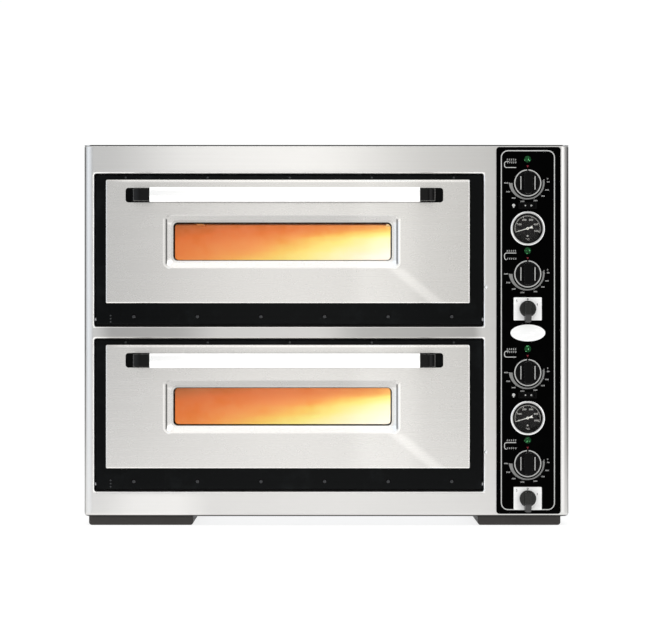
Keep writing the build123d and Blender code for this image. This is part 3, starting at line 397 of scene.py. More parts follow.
@dataclass(frozen=True)
class DoorSteel(BrushedSteel):
    """Door face steel with painted light and shade: the window's recess, the folded edges and two
    reflections.

    Places are metres from the oven's middle, or heights above the window's. Gains and losses are shares of
    the tint.
    """

    centre_x: float = -0.0875
    centre_z: float = 0.5557
    half_width: float = 0.2262
    half_height: float = 0.0520
    glass_half: float = 0.0375
    corner: float = 0.012
    upper_loss: float = 0.22
    lower_gain: float = 0.36
    crease_loss: float = 0.80
    glint_gain: float = 0.30
    top: float = 0.1186
    bottom: float = -0.1200
    left: float = -0.4318
    right: float = 0.2794
    top_gain: float = 0.34
    bottom_gain: float = 0.30
    right_gain: float = 0.28
    sweep_x: float = 0.118
    sweep_gain: float = 0.09
    slant_x: float = 0.0725
    slant_lean: float = 1.195
    slant_gain: float = 0.17

    def shade(self, graph: Graph) -> Signal:
        """Returns painted light and shade: slopes, creases, highlights on the folded edges, two soft
        reflections.
        """
        x, _, z = graph.axes()
        side = x.distance(self.centre_x)
        rise = z - self.centre_z
        wide, high, glass = self.half_width, self.half_height, self.glass_half
        # masks of the recess's slopes, for painted shade above and painted light below
        across = side.fade(wide - 0.004, wide)
        upper = rise.step(glass - 0.002, glass + 0.002)
        upper = upper * rise.fade(high - 0.003, high + 0.001)
        fall = 0.0 - rise
        lower = fall.step(glass - 0.002, glass + 0.002)
        lower = lower * fall.fade(high - 0.002, high + 0.002)
        along = rise.near(0.0, high - 0.010, high - 0.006)
        # painted shadow along the recess's side creases
        crease_shadow = side.near(wide - 0.0006, 0.0009, 0.0022)
        # painted highlight round the recess's lower corners
        out = (side - wide - 0.0045 + self.corner).larger(0.0)
        down = (fall - high + self.corner).larger(0.0)
        round_end = (out * out + down * down) ** 0.5
        glint = round_end.near(self.corner, 0.0008, 0.0026)
        glint = glint * side.step(wide - 0.012, wide - 0.004)
        glint = glint * rise.fade(high - 0.010, high - 0.004)
        # painted highlights on the folded edges of the face
        fold_highlights = rise.near(self.top, 0.0014, 0.0034) * x.step(self.left, self.left + 0.05) * self.top_gain
        fold_highlights = fold_highlights + rise.near(self.bottom, 0.0006, 0.0020) * self.bottom_gain
        fold_highlights = fold_highlights + x.near(self.right, 0.0006, 0.0020) * self.right_gain
        # two painted soft reflections: an upright band and a slant
        sweep = x.near(self.sweep_x, 0.03, 0.085)
        slant_reflection = (x + rise * self.slant_lean).near(self.slant_x, 0.004, 0.023)
        slant_reflection = slant_reflection * fall.step(high - 0.006, high + 0.006)
        # painted shade on the upper slope, painted light on the lower
        slopes = 1.0 - across * upper * self.upper_loss + across * lower * self.lower_gain
        factor = slopes + fold_highlights + sweep * self.sweep_gain + slant_reflection * self.slant_gain
        return factor - along * crease_shadow * self.crease_loss + glint * self.glint_gain


@dataclass(frozen=True)
class LidSteel(BrushedSteel):
    """Lid steel with a painted shadow along its front edge, where the joint with the fascia runs."""

    front_edge: float = -0.3872

    def shade(self, graph: Graph) -> Signal:
        """Returns the painted shadow along the front edge."""
        _, y, _ = graph.axes()
        return 0.06 + y.step(self.front_edge - 0.0004, self.front_edge + 0.0008) * 0.94


@dataclass(frozen=True)
class Enamel(Finish):
    """Glossy baked enamel with a fine orange peel."""

    tint: Colour = (0.0022, 0.0026, 0.0028)
    roughness: float = 0.18
    gloss: float = 0.07
    peel: float = 6e-5

    def paint(self, graph: Graph) -> None:
        """Adds the enamel's nodes."""
        skin = graph.noise(260.0, 2.0, 0.5)
        dust = graph.noise(22.0, 4.0, 0.6).step(0.5, 0.8)
        graph.surface(
            {
                "Base Color": graph.mix(self.tint, scaled(self.tint, 2.5), dust),
                "Roughness": self.roughness + (skin - 0.5) * 0.10 + dust * 0.08,
                "Specular IOR Level": self.gloss,
                "Normal": graph.bump(skin, self.peel, 0.4),
            }
        )


@dataclass(frozen=True)
class PowderCoat(Finish):
    """Textured powder coat."""

    tint: Colour = (0.058, 0.053, 0.049)
    roughness: float = 0.55
    gloss: float = 0.5

    def paint(self, graph: Graph) -> None:
        """Adds the coat's nodes."""
        grit = graph.noise(900.0, 3.0, 0.6)
        patch = graph.noise(18.0, 3.0, 0.5)
        graph.surface(
            {
                "Base Color": graph.shaded(self.tint, 0.75 + patch * 0.3 + grit * 0.2),
                "Roughness": self.roughness + (grit - 0.5) * 0.2,
                "Specular IOR Level": self.gloss,
                "Normal": graph.bump(grit, 1.2e-4, 0.6),
            }
        )


@dataclass(frozen=True)
class Moulded(Finish):
    """Moulded plastic with a fine spark-eroded texture and faint scuffs."""

    tint: Colour = (0.012, 0.012, 0.013)
    roughness: float = 0.38
    gloss: float = 0.35
    texture: float = 1.5e-5

    def paint(self, graph: Graph) -> None:
        """Adds the plastic's nodes."""
        grit = graph.noise(1800.0, 2.0, 0.6)
        scuff = graph.noise((60.0, 60.0, 240.0), 3.0, 0.6).step(0.55, 0.8)
        graph.surface(
            {
                "Base Color": self.colour(graph, 0.9 + grit * 0.12 + scuff * 0.15),
                "Roughness": self.roughness + (grit - 0.5) * 0.14 + scuff * 0.08,
                "Specular IOR Level": self.gloss,
                "Normal": graph.bump(grit, self.texture, 0.5),
            }
        )

    def colour(self, graph: Graph, shade: Signal) -> Signal:
        """Returns the plastic's colour under its texture's shade."""
        return graph.shaded(self.tint, shade)


@dataclass(frozen=True)
class LeverPlastic(Moulded):
    """Black switch handle whose lever is greyer."""

    tint: Colour = (0.006, 0.0068, 0.0055)
    roughness: float = 0.22
    gloss: float = 0.40
    boss_z: float = 0.4239
    worn: Colour = (0.050, 0.050, 0.050)

    def colour(self, graph: Graph, shade: Signal) -> Signal:
        """Returns the plastic's colour, greyer down the lever."""
        _, _, z = graph.axes()
        lever = z.fade(self.boss_z - 0.0145, self.boss_z - 0.0085)
        return graph.shaded(graph.mix(self.tint, self.worn, lever), shade)


@dataclass(frozen=True)
class Pane(Finish):
    """Clear heat-proof glass with a trace of haze from wiping."""

    tint: Colour = (0.985, 0.975, 0.955)
    bend: float = 1.14

    def paint(self, graph: Graph) -> None:
        """Adds the glass's nodes."""
        wipe = graph.noise((14.0, 14.0, 60.0), 3.0, 0.6, (0.0, 0.5, 0.0)).step(0.45, 0.85)
        graph.surface(
            {
                "Base Color": graph.mix(self.tint, scaled(self.tint, 0.97), wipe),
                "Roughness": 0.01 + wipe * 0.03,
                "IOR": self.bend,
                "Transmission Weight": 1.0,
            }
        )


@dataclass(frozen=True)
class SignalLens(Finish):
    """Tinted faceted lens of a pilot lamp, with painted glints on a few facets."""

    tint: Colour = (0.0006, 0.034, 0.007)
    glow: float = 0.35
    spark: Colour = (0.16, 0.62, 0.24)
    facets: float = 420.0

    def paint(self, graph: Graph) -> None:
        """Adds the lens's nodes."""
        facet = graph.cells(self.facets)
        deep = graph.ramp(facet, [(0.0, scaled(self.tint, 2.2)), (0.8, scaled(self.tint, 0.35))])
        # painted highlights: a few facets turn bright green as glints
        flake = graph.signal("ShaderNodeSeparateColor", None, {0: graph.cells(self.facets, "Color")})
        deep = graph.mix(deep, self.spark, flake.step(0.78, 0.90) * facet.fade(0.25, 0.6))
        graph.surface(
            {
                "Base Color": deep,
                "Roughness": 0.12 + facet * 0.1,
                "Emission Color": deep,
                "Emission Strength": self.glow,
                "Specular IOR Level": 0.12,
                "Coat Weight": 0.12,
                "Coat Roughness": 0.05,
                "Normal": graph.bump(facet, 2.5e-4, 0.5),
            }
        )


@dataclass(frozen=True)
class Plated(Finish):
    """Bright plating, from mirror chrome to zinc with its spangle."""

    tint: Colour = (0.86, 0.865, 0.87)
    roughness: float = 0.14
    spangle: float = 0.0

    def paint(self, graph: Graph) -> None:
        """Adds the plating's nodes."""
        flake = graph.cells(160.0, "Color")
        shine = graph.signal("ShaderNodeSeparateColor", None, {0: flake})
        haze = graph.noise(120.0, 3.0, 0.6)
        factor = (1.0 - shine * self.spangle + (haze - 0.5) * 0.10) * self.shade(graph)
        graph.surface(
            {
                "Base Color": graph.shaded(self.tint, factor),
                "Metallic": 1.0,
                "Roughness": self.roughness + shine * self.spangle * 0.4 + (haze - 0.5) * 0.10,
            }
        )

    def shade(self, graph: Graph) -> Signal | float:
        """Returns a factor that dulls the plating over the part."""
        return 1.0


@dataclass(frozen=True)
class GaugeRim(Plated):
    """Chrome rims of both thermometers, near black on the slope inside."""

    centre_x: float = 0.3938
    middle_z: float = 0.3958
    half_gap: float = 0.1856
    black_to: float = 0.0296

    def shade(self, graph: Graph) -> Signal:
        """Returns the darkening of the inner slope to near black."""
        x, _, z = graph.axes()
        aside = x - self.centre_x
        rise = z.distance(self.middle_z) - self.half_gap
        reach = (aside * aside + rise * rise) ** 0.5
        return 0.02 + reach.step(self.black_to - 0.0005, self.black_to + 0.0005) * 0.98


@dataclass(frozen=True)
class PrintInk(Finish):
    """Screen-printed ink, slightly uneven in cover."""

    tint: Colour = (0.50, 0.50, 0.49)
    glow: float = 0.0

    def paint(self, graph: Graph) -> None:
        """Adds the ink's nodes."""
        cover = graph.noise(700.0, 3.0, 0.6)
        colour = graph.shaded(self.tint, 0.9 + cover * 0.2)
        graph.surface(
            {
                "Base Color": colour,
                "Roughness": 0.5 + (cover - 0.5) * 0.2,
                "Specular IOR Level": 0.3,
                "Emission Color": colour,
                "Emission Strength": self.glow,
            }
        )


@dataclass(frozen=True)
class Firebrick(Finish):
    """Baking stone: pale sandy tile with specks, pits and toasted patches."""

    tint: Colour = (0.52, 0.40, 0.28)
    crust: Colour = (0.20, 0.11, 0.06)

    def paint(self, graph: Graph) -> None:
        """Adds the stone's nodes."""
        speck = graph.noise(900.0, 3.0, 0.7)
        toast = graph.noise(9.0, 4.0, 0.6).step(0.45, 0.75)
        pits = graph.cells(260.0).fade(0.0, 0.22)
        toasted = graph.mix(self.tint, self.crust, toast * 0.7)
        graph.surface(
            {
                "Base Color": graph.shaded(toasted, 0.75 + speck * 0.5 - pits * 0.3),
                "Roughness": 0.88 + (speck - 0.5) * 0.1,
                "Normal": graph.bump(speck * 0.6 - pits * 0.8, 4e-4, 0.7),
            }
        )


@dataclass(frozen=True)
class HotRod(Finish):
    """Oxidised sheath of a tubular heating element, faintly warm."""

    tint: Colour = (0.075, 0.052, 0.042)
    rust: Colour = (0.16, 0.10, 0.06)
    heat: Colour = (1.0, 0.23, 0.05)
    glow: float = 0.12

    def paint(self, graph: Graph) -> None:
        """Adds the sheath's nodes."""
        scale = graph.noise(300.0, 4.0, 0.65)
        band = graph.noise(16.0, 2.0, 0.5)
        sheath = graph.shaded(self.tint, 0.7 + scale * 0.6)
        graph.surface(
            {
                "Base Color": graph.mix(sheath, self.rust, band.step(0.5, 0.8)),
                "Metallic": 0.6,
                "Roughness": 0.55 + (scale - 0.5) * 0.3,
                "Emission Color": graph.shaded(self.heat, 0.6 + band * 0.8),
                "Emission Strength": self.glow,
                "Normal": graph.bump(scale, 1e-4, 0.6),
            }
        )


@dataclass(frozen=True)
class Wool(Finish):
    """Mineral wool: matted fibres in a yellow-grey mat."""

    tint: Colour = (0.42, 0.37, 0.22)

    def paint(self, graph: Graph) -> None:
        """Adds the wool's nodes."""
        along = graph.noise((90.0, 900.0, 1400.0), 4.0, 0.7, (0.0, 0.0, 0.5))
        across = graph.noise((1200.0, 140.0, 900.0), 4.0, 0.7, (0.3, 0.0, 0.2))
        fibre = along * 0.5 + across * 0.5
        graph.surface(
            {
                "Base Color": graph.shaded(self.tint, 0.6 + fibre * 0.8),
                "Roughness": 0.95 + (fibre - 0.5) * 0.05,
                "Sheen Weight": 0.3,
                "Normal": graph.bump(fibre, 1.5e-3, 0.8),
            }
        )


@dataclass(frozen=True)
class LampGlass(Finish):
    """Warm lit dome of a chamber lamp in its holder."""

    tint: Colour = (1.0, 0.72, 0.36)
    glow: float = 2.5

    def paint(self, graph: Graph) -> None:
        """Adds the lamp's nodes."""
        ribs = graph.noise((10.0, 500.0, 500.0), 1.0, 0.5)
        colour = graph.shaded(self.tint, 0.85 + ribs * 0.3)
        graph.surface(
            {
                "Base Color": (0.85, 0.8, 0.7),
                "Roughness": 0.25 + (ribs - 0.5) * 0.1,
                "Emission Color": colour,
                "Emission Strength": self.glow,
            }
        )


@dataclass(frozen=True)
class GlowingSheet(Finish):
    """Heat-tinted chamber sheet: painted glow, amber in the far corner, bright by the lamp; black on its
    mouth's flange.
    """

    left: float = -0.331
    right: float = 0.142
    bottom: float = 0.530
    top: float = 0.613
    mouth: float = -0.340
    rear: float = 0.262
    clean: Colour = (0.50, 0.45, 0.38)
    tarnished: Colour = (0.30, 0.20, 0.12)
    glow: float = 1.0

    def paint(self, graph: Graph) -> None:
        """Adds the sheet's nodes."""
        x, y, z = graph.axes()
        across = (x - self.left) / (self.right - self.left)
        rise = (z - self.bottom) / (self.top - self.bottom)
        ripple = graph.noise((2.2, 2.2, 60.0), 3.0, 0.6) - 0.5
        cloud = graph.noise((7.0, 7.0, 16.0), 2.0, 0.5, (0.0, -0.25, 0.0)) - 0.5
        bulge = 0.16 - (rise * 2.0).distance(1.0) * 0.16
        below = (across - 0.25) * 1.133 - rise + bulge + ripple * 0.18 + cloud * 0.26
        below = below + across.step(0.6, 1.0) * rise.fade(0.55, 0.9) * 0.15
        # painted light: the colours of the glow that stands in for the lamp-lit chamber
        light = graph.ramp(
            (below + 1.3) / 2.2,
            [
                (0.0, linear(150, 80, 42)),
                (0.13, linear(200, 103, 50)),
                (0.27, linear(229, 114, 50)),
                (0.41, linear(237, 126, 58)),
                (0.50, linear(244, 145, 70)),
                (0.57, linear(248, 166, 76)),
                (0.64, linear(251, 205, 96)),
                (0.73, linear(253, 240, 138)),
                (0.82, linear(255, 250, 190)),
                (1.0, linear(255, 255, 246)),
            ],
        )
        # painted light: the glow lies on the back wall, dimmer near its top, plus some deeper in
        wall = y.step(self.rear - 0.012, self.rear)
        wall = wall * (1.0 - rise.step(0.6, 1.0) * (across * across * 0.32 + 0.12))
        depth = y.step(self.mouth, self.rear)
        tarnish = graph.noise(7.0, 4.0, 0.6)
        metal = graph.mix(self.clean, self.tarnished, tarnish.step(0.4, 0.75))
        # black paint on the mouth's flange, which also stands in for the shade in the gap round the door
        flange = y.fade(self.mouth - 0.004, self.mouth)
        graph.surface(
            {
                "Base Color": graph.mix(metal, grey(0.004), flange),
                "Metallic": 0.7 - flange * 0.7,
                "Roughness": 0.42 + (tarnish - 0.5) * 0.3,
                "Emission Color": graph.shaded(light, wall * (0.60 + across * 0.16) + depth * depth * 0.22),
                "Emission Strength": self.glow,
            }
        )


class Deck(StrEnum):
    """The two decks, by the word that begins their parts' names."""

    UPPER = "upper"
    LOWER = "lower"


class Heat(StrEnum):
    """The two heats of a deck, by the word in their knobs' names."""

    TOP = "top"
    BOTTOM = "bottom"


class Shop:
    """The finishes of this oven by the part they are for."""

    FASCIA = FasciaSteel("fascia_steel", tint=(0.72, 0.71, 0.695), roughness=0.30, streaks=0.10, relief=8e-6)
    DOOR_FACES = {
        deck: DoorSteel(
            f"{deck}_door_face_steel",
            tint=(0.73, 0.715, 0.695),
            roughness=0.27,
            streaks=0.05,
            relief=6e-6,
            centre_z=height,
        )
        for deck, height in ((Deck.UPPER, 0.5557), (Deck.LOWER, 0.2327))
    }
    SIDE = BrushedSteel("side_sheet_steel", grain=Grain.ALONG_Y, roughness=0.32, streaks=0.26, clouds=0.14)
    LID = LidSteel("lid_sheet_steel", roughness=0.32, streaks=0.22, clouds=0.12)
    BACK = BrushedSteel("back_sheet_steel", (0.60, 0.605, 0.61), roughness=0.36, streaks=0.24, clouds=0.14)
    # painted light: the handle bar glows a little so that it burns out to white
    HANDLE = BrushedSteel(
        "handle_steel_satin", (0.93, 0.93, 0.925), roughness=0.24, streaks=0.03, clouds=0.01, lift=0.20
    )
    TRAY = Enamel("tray_enamel")
    PANEL = Enamel("panel_enamel", grey(0.0004), roughness=0.30, gloss=0.012, peel=2e-5)
    RUNNER = PowderCoat("runner_powder_coat", (0.030, 0.027, 0.025), gloss=0.3)
    KNOB = Moulded("knob_plastic", (0.0012, 0.0012, 0.0014), roughness=0.26, gloss=0.09)
    BRACKET = Moulded("bracket_plastic", grey(0.0016), roughness=0.24, gloss=0.18)
    ROCKER = Moulded("rocker_plastic", (0.0012, 0.0012, 0.0013), roughness=0.30, gloss=0.07)
    WHITE_PLATE = Moulded("plate_plastic", (0.93, 0.93, 0.925), roughness=0.35)
    GLAND = Moulded("gland_plastic_black", (0.02, 0.02, 0.021), roughness=0.45)
    LENS = SignalLens("green_lens_plastic")
    WINDOW = Pane("window_pane_glass")
    DIAL_GLASS = Pane("dial_cover_glass", bend=1.12)
    CHROME = Plated("chrome_ring", (0.93, 0.935, 0.94), roughness=0.16)
    GAUGE_RIM = GaugeRim("gauge_rim_chrome", grey(0.95), roughness=0.16)
    DIAL = Moulded("dial_card", (0.016, 0.016, 0.017), roughness=0.6, gloss=0.1)
    # painted light: the needle's paint glows a little, which keeps it bright
    NEEDLE = PrintInk("needle_paint", (0.9, 0.9, 0.88), glow=0.1)
    STONE = Firebrick("baking_stone_tile")
    ELEMENT = HotRod("element_sheath")
    ZINC = Plated("zinc_plate", (0.62, 0.64, 0.66), roughness=0.34, spangle=0.16)
    SPRING = Plated("spring_wire", (0.42, 0.42, 0.43), roughness=0.30, spangle=0.04)
    WOOL = Wool("mineral_wool_mat")
    LAMP = LampGlass("chamber_lamp_glass")
    LINER = Plated("aluminised_plate", (0.56, 0.55, 0.53), roughness=0.40, spangle=0.06)
    WHITE_INK = PrintInk("white_print")
    DIAL_INK = PrintInk("dial_print", (0.75, 0.75, 0.74))
    GREY_INK = PrintInk("grey_print", (0.22, 0.22, 0.215))
    RED_INK = PrintInk("red_print", (0.20, 0.010, 0.018))
    DARK_SCREW = Plated("blackened_screw", (0.055, 0.056, 0.058), roughness=0.10, spangle=0.02)


def dress(node: str, finish: Finish) -> None:
    """Gives every material slot of a CAD node one finish."""
    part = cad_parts[node]
    if not part.material_slots:
        part.data.materials.append(finish.material())
    for place in part.material_slots:
        place.material = finish.material()
    LOG.info("dressed %s in %s", node, finish.name)


def dress_all(finishes: dict[str, Finish], prefix: str = "") -> None:
    """Gives CAD nodes their finishes, prefix being what all their names begin with."""
    for node, finish in finishes.items():
        dress(prefix + node, finish)


# Thin prints


def on_circle(x: float, z: float, radius: float, degrees: float) -> Point:
    """Returns the point at an angle on a circle, counted anticlockwise from the right."""
    angle = math.radians(degrees)
    return x + radius * math.cos(angle), z + radius * math.sin(angle)


def arc(
    x: float, z: float, radius: float | Callable[[float], float], start: float, end: float, steps: int = 48
) -> list[Point]:
    """Returns points along an arc, whose radius may change with its share of the way."""
    points = []
    for index in range(steps + 1):
        share = index / steps
        reach = radius(share) if callable(radius) else radius
        points.append(on_circle(x, z, reach, start + (end - start) * share))
    return points


def circle(x: float, z: float, radius: float, steps: int = 20) -> list[Point]:
    """Returns the points of a full circle."""
    return arc(x, z, radius, 0, 360, steps)[:-1]


def rounded(x0: float, x1: float, z0: float, z1: float, radius: float, steps: int = 8) -> list[Point]:
    """Returns the outline of a rectangle with rounded corners."""
    left, right, low, high = x0 + radius, x1 - radius, z0 + radius, z1 - radius
    points = []
    for turn, (x, z) in enumerate(((right, high), (left, high), (left, low), (right, low))):
        points += arc(x, z, radius, 90 * turn, 90 * turn + 90, steps)
    return points


def about(x: float, z: float, *offsets: Point) -> list[Point]:
    """Returns the points at offsets in millimetres from a place."""
    return [(x + across * MM, z + rise * MM) for across, rise in offsets]


def middle(node: str) -> Vector:
    """Returns the middle of a CAD node's box."""
    low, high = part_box(node)
    return (low + high) / 2


class Sheet:
    """Thin flat shapes on a front-facing plane, gathered into one mesh."""

    SINK = 0.03 * MM

    def __init__(self, y: float, thickness: float = 0.12 * MM) -> None:
        """Starts an empty sheet on the plane at y, which faces the front."""
        self.mesh = bmesh.new()
        self.back = y + self.SINK
        self.front = y - thickness

    def _rows(self, points: list[Point]) -> list[list[bmesh.types.BMVert]]:
        """Adds a line's corners at the front and at the back."""
        return [[self.mesh.verts.new((x, y, z)) for x, z in points] for y in (self.front, self.back)]

    def band(self, inner: list[Point], outer: list[Point], closed: bool = False) -> None:
        """Adds a band between two lines of as many points.

        Args:
            inner: Points of one edge, as x and z.
            outer: Points of the other edge.
            closed: Whether the band's ends meet.
        """
        inner_front, inner_back = self._rows(inner)
        outer_front, outer_back = self._rows(outer)
        count = len(inner)
        around = (inner_front, outer_front, outer_back, inner_back)
        for index in range(count if closed else count - 1):
            after = (index + 1) % count
            for one, two in zip(around, around[1:] + around[:1]):
                self.mesh.faces.new((one[index], two[index], two[after], one[after]))
        if not closed:
            for end in (0, count - 1):
                self.mesh.faces.new([row[end] for row in around])

    def ring(self, x: float, z: float, inner: float, outer: float, steps: int = 20) -> None:
        """Adds a flat ring between two radii."""
        self.band(circle(x, z, inner, steps), circle(x, z, outer, steps), True)

    def plate(self, points: list[Point]) -> None:
        """Adds a filled outline."""
        front, back = self._rows(points)
        self.mesh.faces.new(front)
        self.mesh.faces.new(list(reversed(back)))
        for index in range(len(points)):
            after = (index + 1) % len(points)
            self.mesh.faces.new((front[index], back[index], back[after], front[after]))

    def stroke(self, points: list[Point], width: float) -> None:
        """Adds a line of even width through the points."""
        left, right = [], []
        for index, (x, z) in enumerate(points):
            x0, z0 = points[max(index - 1, 0)]
            x1, z1 = points[min(index + 1, len(points) - 1)]
            along = Vector((x1 - x0, z1 - z0)).normalized() * width / 2
            left.append((x - along.y, z + along.x))
            right.append((x + along.y, z - along.x))
        self.band(left, right)

    def text(self, words: str, x: float, z: float, size: float, stretch: float) -> None:
        """Adds lettering centred on a point, in a size of type that is stretched sideways."""
        curve = bpy.data.curves.new("lettering", "FONT")
        curve.body = words
        curve.size = size
        curve.align_x = "CENTER"
        curve.align_y = "CENTER"
        curve.extrude = (self.back - self.front) / 2
        curve.offset = size * 0.012
        curve.resolution_u = 2
        writer = stand("lettering", curve)
        bpy.context.view_layer.update()
        shape = bpy.data.meshes.new_from_object(writer.evaluated_get(bpy.context.evaluated_depsgraph_get()))
        place = Matrix.Translation((x, (self.front + self.back) / 2, z))
        upright = place @ Matrix.Rotation(math.pi / 2, 4, "X")
        shape.transform(upright @ Matrix.Diagonal((stretch, 1.0, 1.0, 1.0)))
        self.mesh.from_mesh(shape)
        bpy.data.objects.remove(writer)
        bpy.data.curves.remove(curve)
        bpy.data.meshes.remove(shape)

    def piece(self, name: str, body: str, finish: Finish, slot: str) -> None:
        """Turns the shapes into one piece that rides on a body.

        Args:
            name: The piece's name.
            body: The CAD body it moves with.
            finish: Its finish.
            slot: The record's material slot; not used.
        """
        bmesh.ops.remove_doubles(self.mesh, verts=self.mesh.verts, dist=1e-6)
        bmesh.ops.recalc_face_normals(self.mesh, faces=self.mesh.faces)
        shape = bpy.data.meshes.new(name)
        self.mesh.to_mesh(shape)
        self.mesh.free()
        shape.materials.append(finish.material())
        made = stand(name, shape)
        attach(made, body)
        LOG.info("made %s on %s", name, body)


# Sub-assemblies


@dataclass
class Casing:
    """Outer sheets, runners, back fittings, insulation and what both chambers share."""

    def dress(self) -> None:
        """Gives the casing's nodes their finishes."""
        dress_all(
            {
                "front_fascia": Shop.FASCIA,
                "left_side_panel": Shop.SIDE,
                "right_side_panel": Shop.SIDE,
                "top_panel": Shop.LID,
                "back_panel": Shop.BACK,
                "base_pan": Shop.ZINC,
                "base_runners": Shop.RUNNER,
                "casing_screws": Shop.CHROME,
                "cable_gland": Shop.GLAND,
                "terminal_block": Shop.WHITE_PLATE,
                "control_partition": Shop.ZINC,
                "insulation": Shop.WOOL,
                "steam_outlets": Shop.LINER,
                "hinge_brackets": Shop.ZINC,
                "hinge_pins": Shop.SPRING,
                "thermostats": Shop.ZINC,
                "baking_stones": Shop.STONE,
                "bottom_heating_elements": Shop.ELEMENT,
                "top_heating_elements": Shop.ELEMENT,
                "chamber_lamps": Shop.LAMP,
            }
        )


@dataclass
class Chamber:
    """One deck's baking chamber with the glow of its lamp."""

    deck: Deck
    glow_bottom: float
    glow_top: float
    watts: float = 1.2
    warmth: Colour = (1.0, 0.66, 0.30)
    bulb: float = 0.02
    from_wall: float = 0.075
    from_middle: float = 0.02
    height_share: float = 0.55

    def dress(self) -> None:
        """Dresses the liner with a painted glow that stands in for the lamp's light."""
        sheet = GlowingSheet(f"{self.deck}_chamber_sheet", bottom=self.glow_bottom, top=self.glow_top)
        dress(f"{self.deck}_chamber_liner", sheet)

    def light(self) -> None:
        """Hangs a small warm light by the chamber's lamp."""
        low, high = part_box(f"{self.deck}_chamber_liner")
        lamp = bpy.data.lights.new(f"{self.deck}_chamber_light", "POINT")
        lamp.energy = self.watts
        lamp.color = self.warmth
        lamp.shadow_soft_size = self.bulb
        height = low.z + (high.z - low.z) * self.height_share
        stand(lamp.name, lamp).location = (high.x - self.from_wall, self.from_middle, height)


@dataclass
class Door:
    """One deck's door."""

    deck: Deck

    def dress(self) -> None:
        """Gives the door's nodes their finishes."""
        finishes = {
            "tray": Shop.TRAY,
            "face_panel": Shop.DOOR_FACES[self.deck],
            "inner_panel": Shop.LINER,
            "window_panes": Shop.WINDOW,
            "insulation": Shop.WOOL,
            "handle_bar": Shop.HANDLE,
            "handle_brackets": Shop.BRACKET,
            "screws": Shop.DARK_SCREW,
            "hinge_plates": Shop.ZINC,
            "springs": Shop.SPRING,
        }
        dress_all(finishes, f"{self.deck}_door_")


@dataclass
class HeatKnob:
    """One heat knob: its finish, its printed skirt and hub, and its scale on the panel.

    Angles are in degrees, anticlockwise from the right. The scale's grey band runs from its start to its end
    and swells at both. Each label is an angle and its number.
    """

    deck: Deck
    heat: Heat
    panel_y: float
    skirt_height: float = 4.2 * MM
    hub_height: float = 9.0 * MM
    ring: Point = (24.3 * MM, 26.5 * MM)
    ring_gap: float = 3.5
    bar_offset: float = 13.8 * MM
    bar_half: float = 13.2 * MM
    bar_width: float = 2.0 * MM
    bar_rounding: float = 0.98
    band: Point = (29.6 * MM, 32.0 * MM)
    band_start: float = 180.0
    band_end: float = 370.0
    swell: Point = (4.8 * MM, 1.2 * MM)
    tick_over: float = 0.6 * MM
    tick_length: float = 2.2 * MM
    tick_width: float = 0.8 * MM
    label_radius: float = 35.9 * MM
    label_aside: Point = (6.6 * MM, 4.2 * MM)
    label_size: float = 3.6 * MM
    label_stretch: float = 1.45
    labels: tuple[tuple[float, str], ...] = (
        (12, "0"),
        (3, "50"),
        (-20, "100"),
        (-41, "150"),
        (-66.5, "200"),
        (-106, "250"),
        (-133, "300"),
        (-156, "350"),
        (-180, "400"),
    )

    @property
    def body(self) -> str:
        """The knob's CAD body and node."""
        return f"{self.deck}_deck_{self.heat}_heat_knob"

    def dress(self) -> None:
        """Gives the knob its finish and prints."""
        dress(self.body, Shop.KNOB)
        centre = middle(self.body)
        rim = Sheet(self.panel_y - self.skirt_height)
        start, end = 90 + self.ring_gap, 450 - self.ring_gap
        rim.band(*(arc(centre.x, centre.z, radius, start, end, 96) for radius in self.ring))
        rim.piece(f"{self.body}_ring_print", self.body, Shop.WHITE_INK, "white_plastic")
        hub = Sheet(self.panel_y - self.hub_height)
        half, low, high = self.bar_width / 2, centre.z - self.bar_half, centre.z + self.bar_half
        for x in (centre.x - self.bar_offset, centre.x + self.bar_offset):
            hub.plate(rounded(x - half, x + half, low, high, half * self.bar_rounding, 4))
        hub.piece(f"{self.body}_bar_print", self.body, Shop.WHITE_INK, "white_plastic")

    def _reach(self, share: float) -> float:
        """Returns the band's outer radius at a share of its way, wide at both ends."""
        wide_left = max(0.0, 1 - share / 0.5) ** 1.3
        wide_right = max(0.0, (share - 0.5) / 0.5)
        return self.band[1] + self.swell[0] * wide_left + self.swell[1] * wide_right

    def print_scale(self, sheet: Sheet, grey_sheet: Sheet) -> None:
        """Adds the knob's tapered scale and its numbers to the panel's prints.

        Args:
            sheet: White print.
            grey_sheet: Grey print, for the tapered band.
        """
        x, _, z = middle(self.body)
        inner = arc(x, z, self.band[0], self.band_start, self.band_end, 64)
        grey_sheet.band(inner, arc(x, z, self._reach, self.band_start, self.band_end, 64))
        for angle, words in self.labels:
            edge = self._reach((angle + 180) / (self.band_end - self.band_start)) + self.tick_over
            tick = [on_circle(x, z, radius, angle) for radius in (edge - self.tick_length, edge)]
            sheet.stroke(tick, self.tick_width)
            aside = self.label_aside[0 if angle < -90 else 1] * abs(math.cos(math.radians(angle)))
            place = on_circle(x, z, self.label_radius + aside, angle)
            sheet.text(words, *place, self.label_size, self.label_stretch)


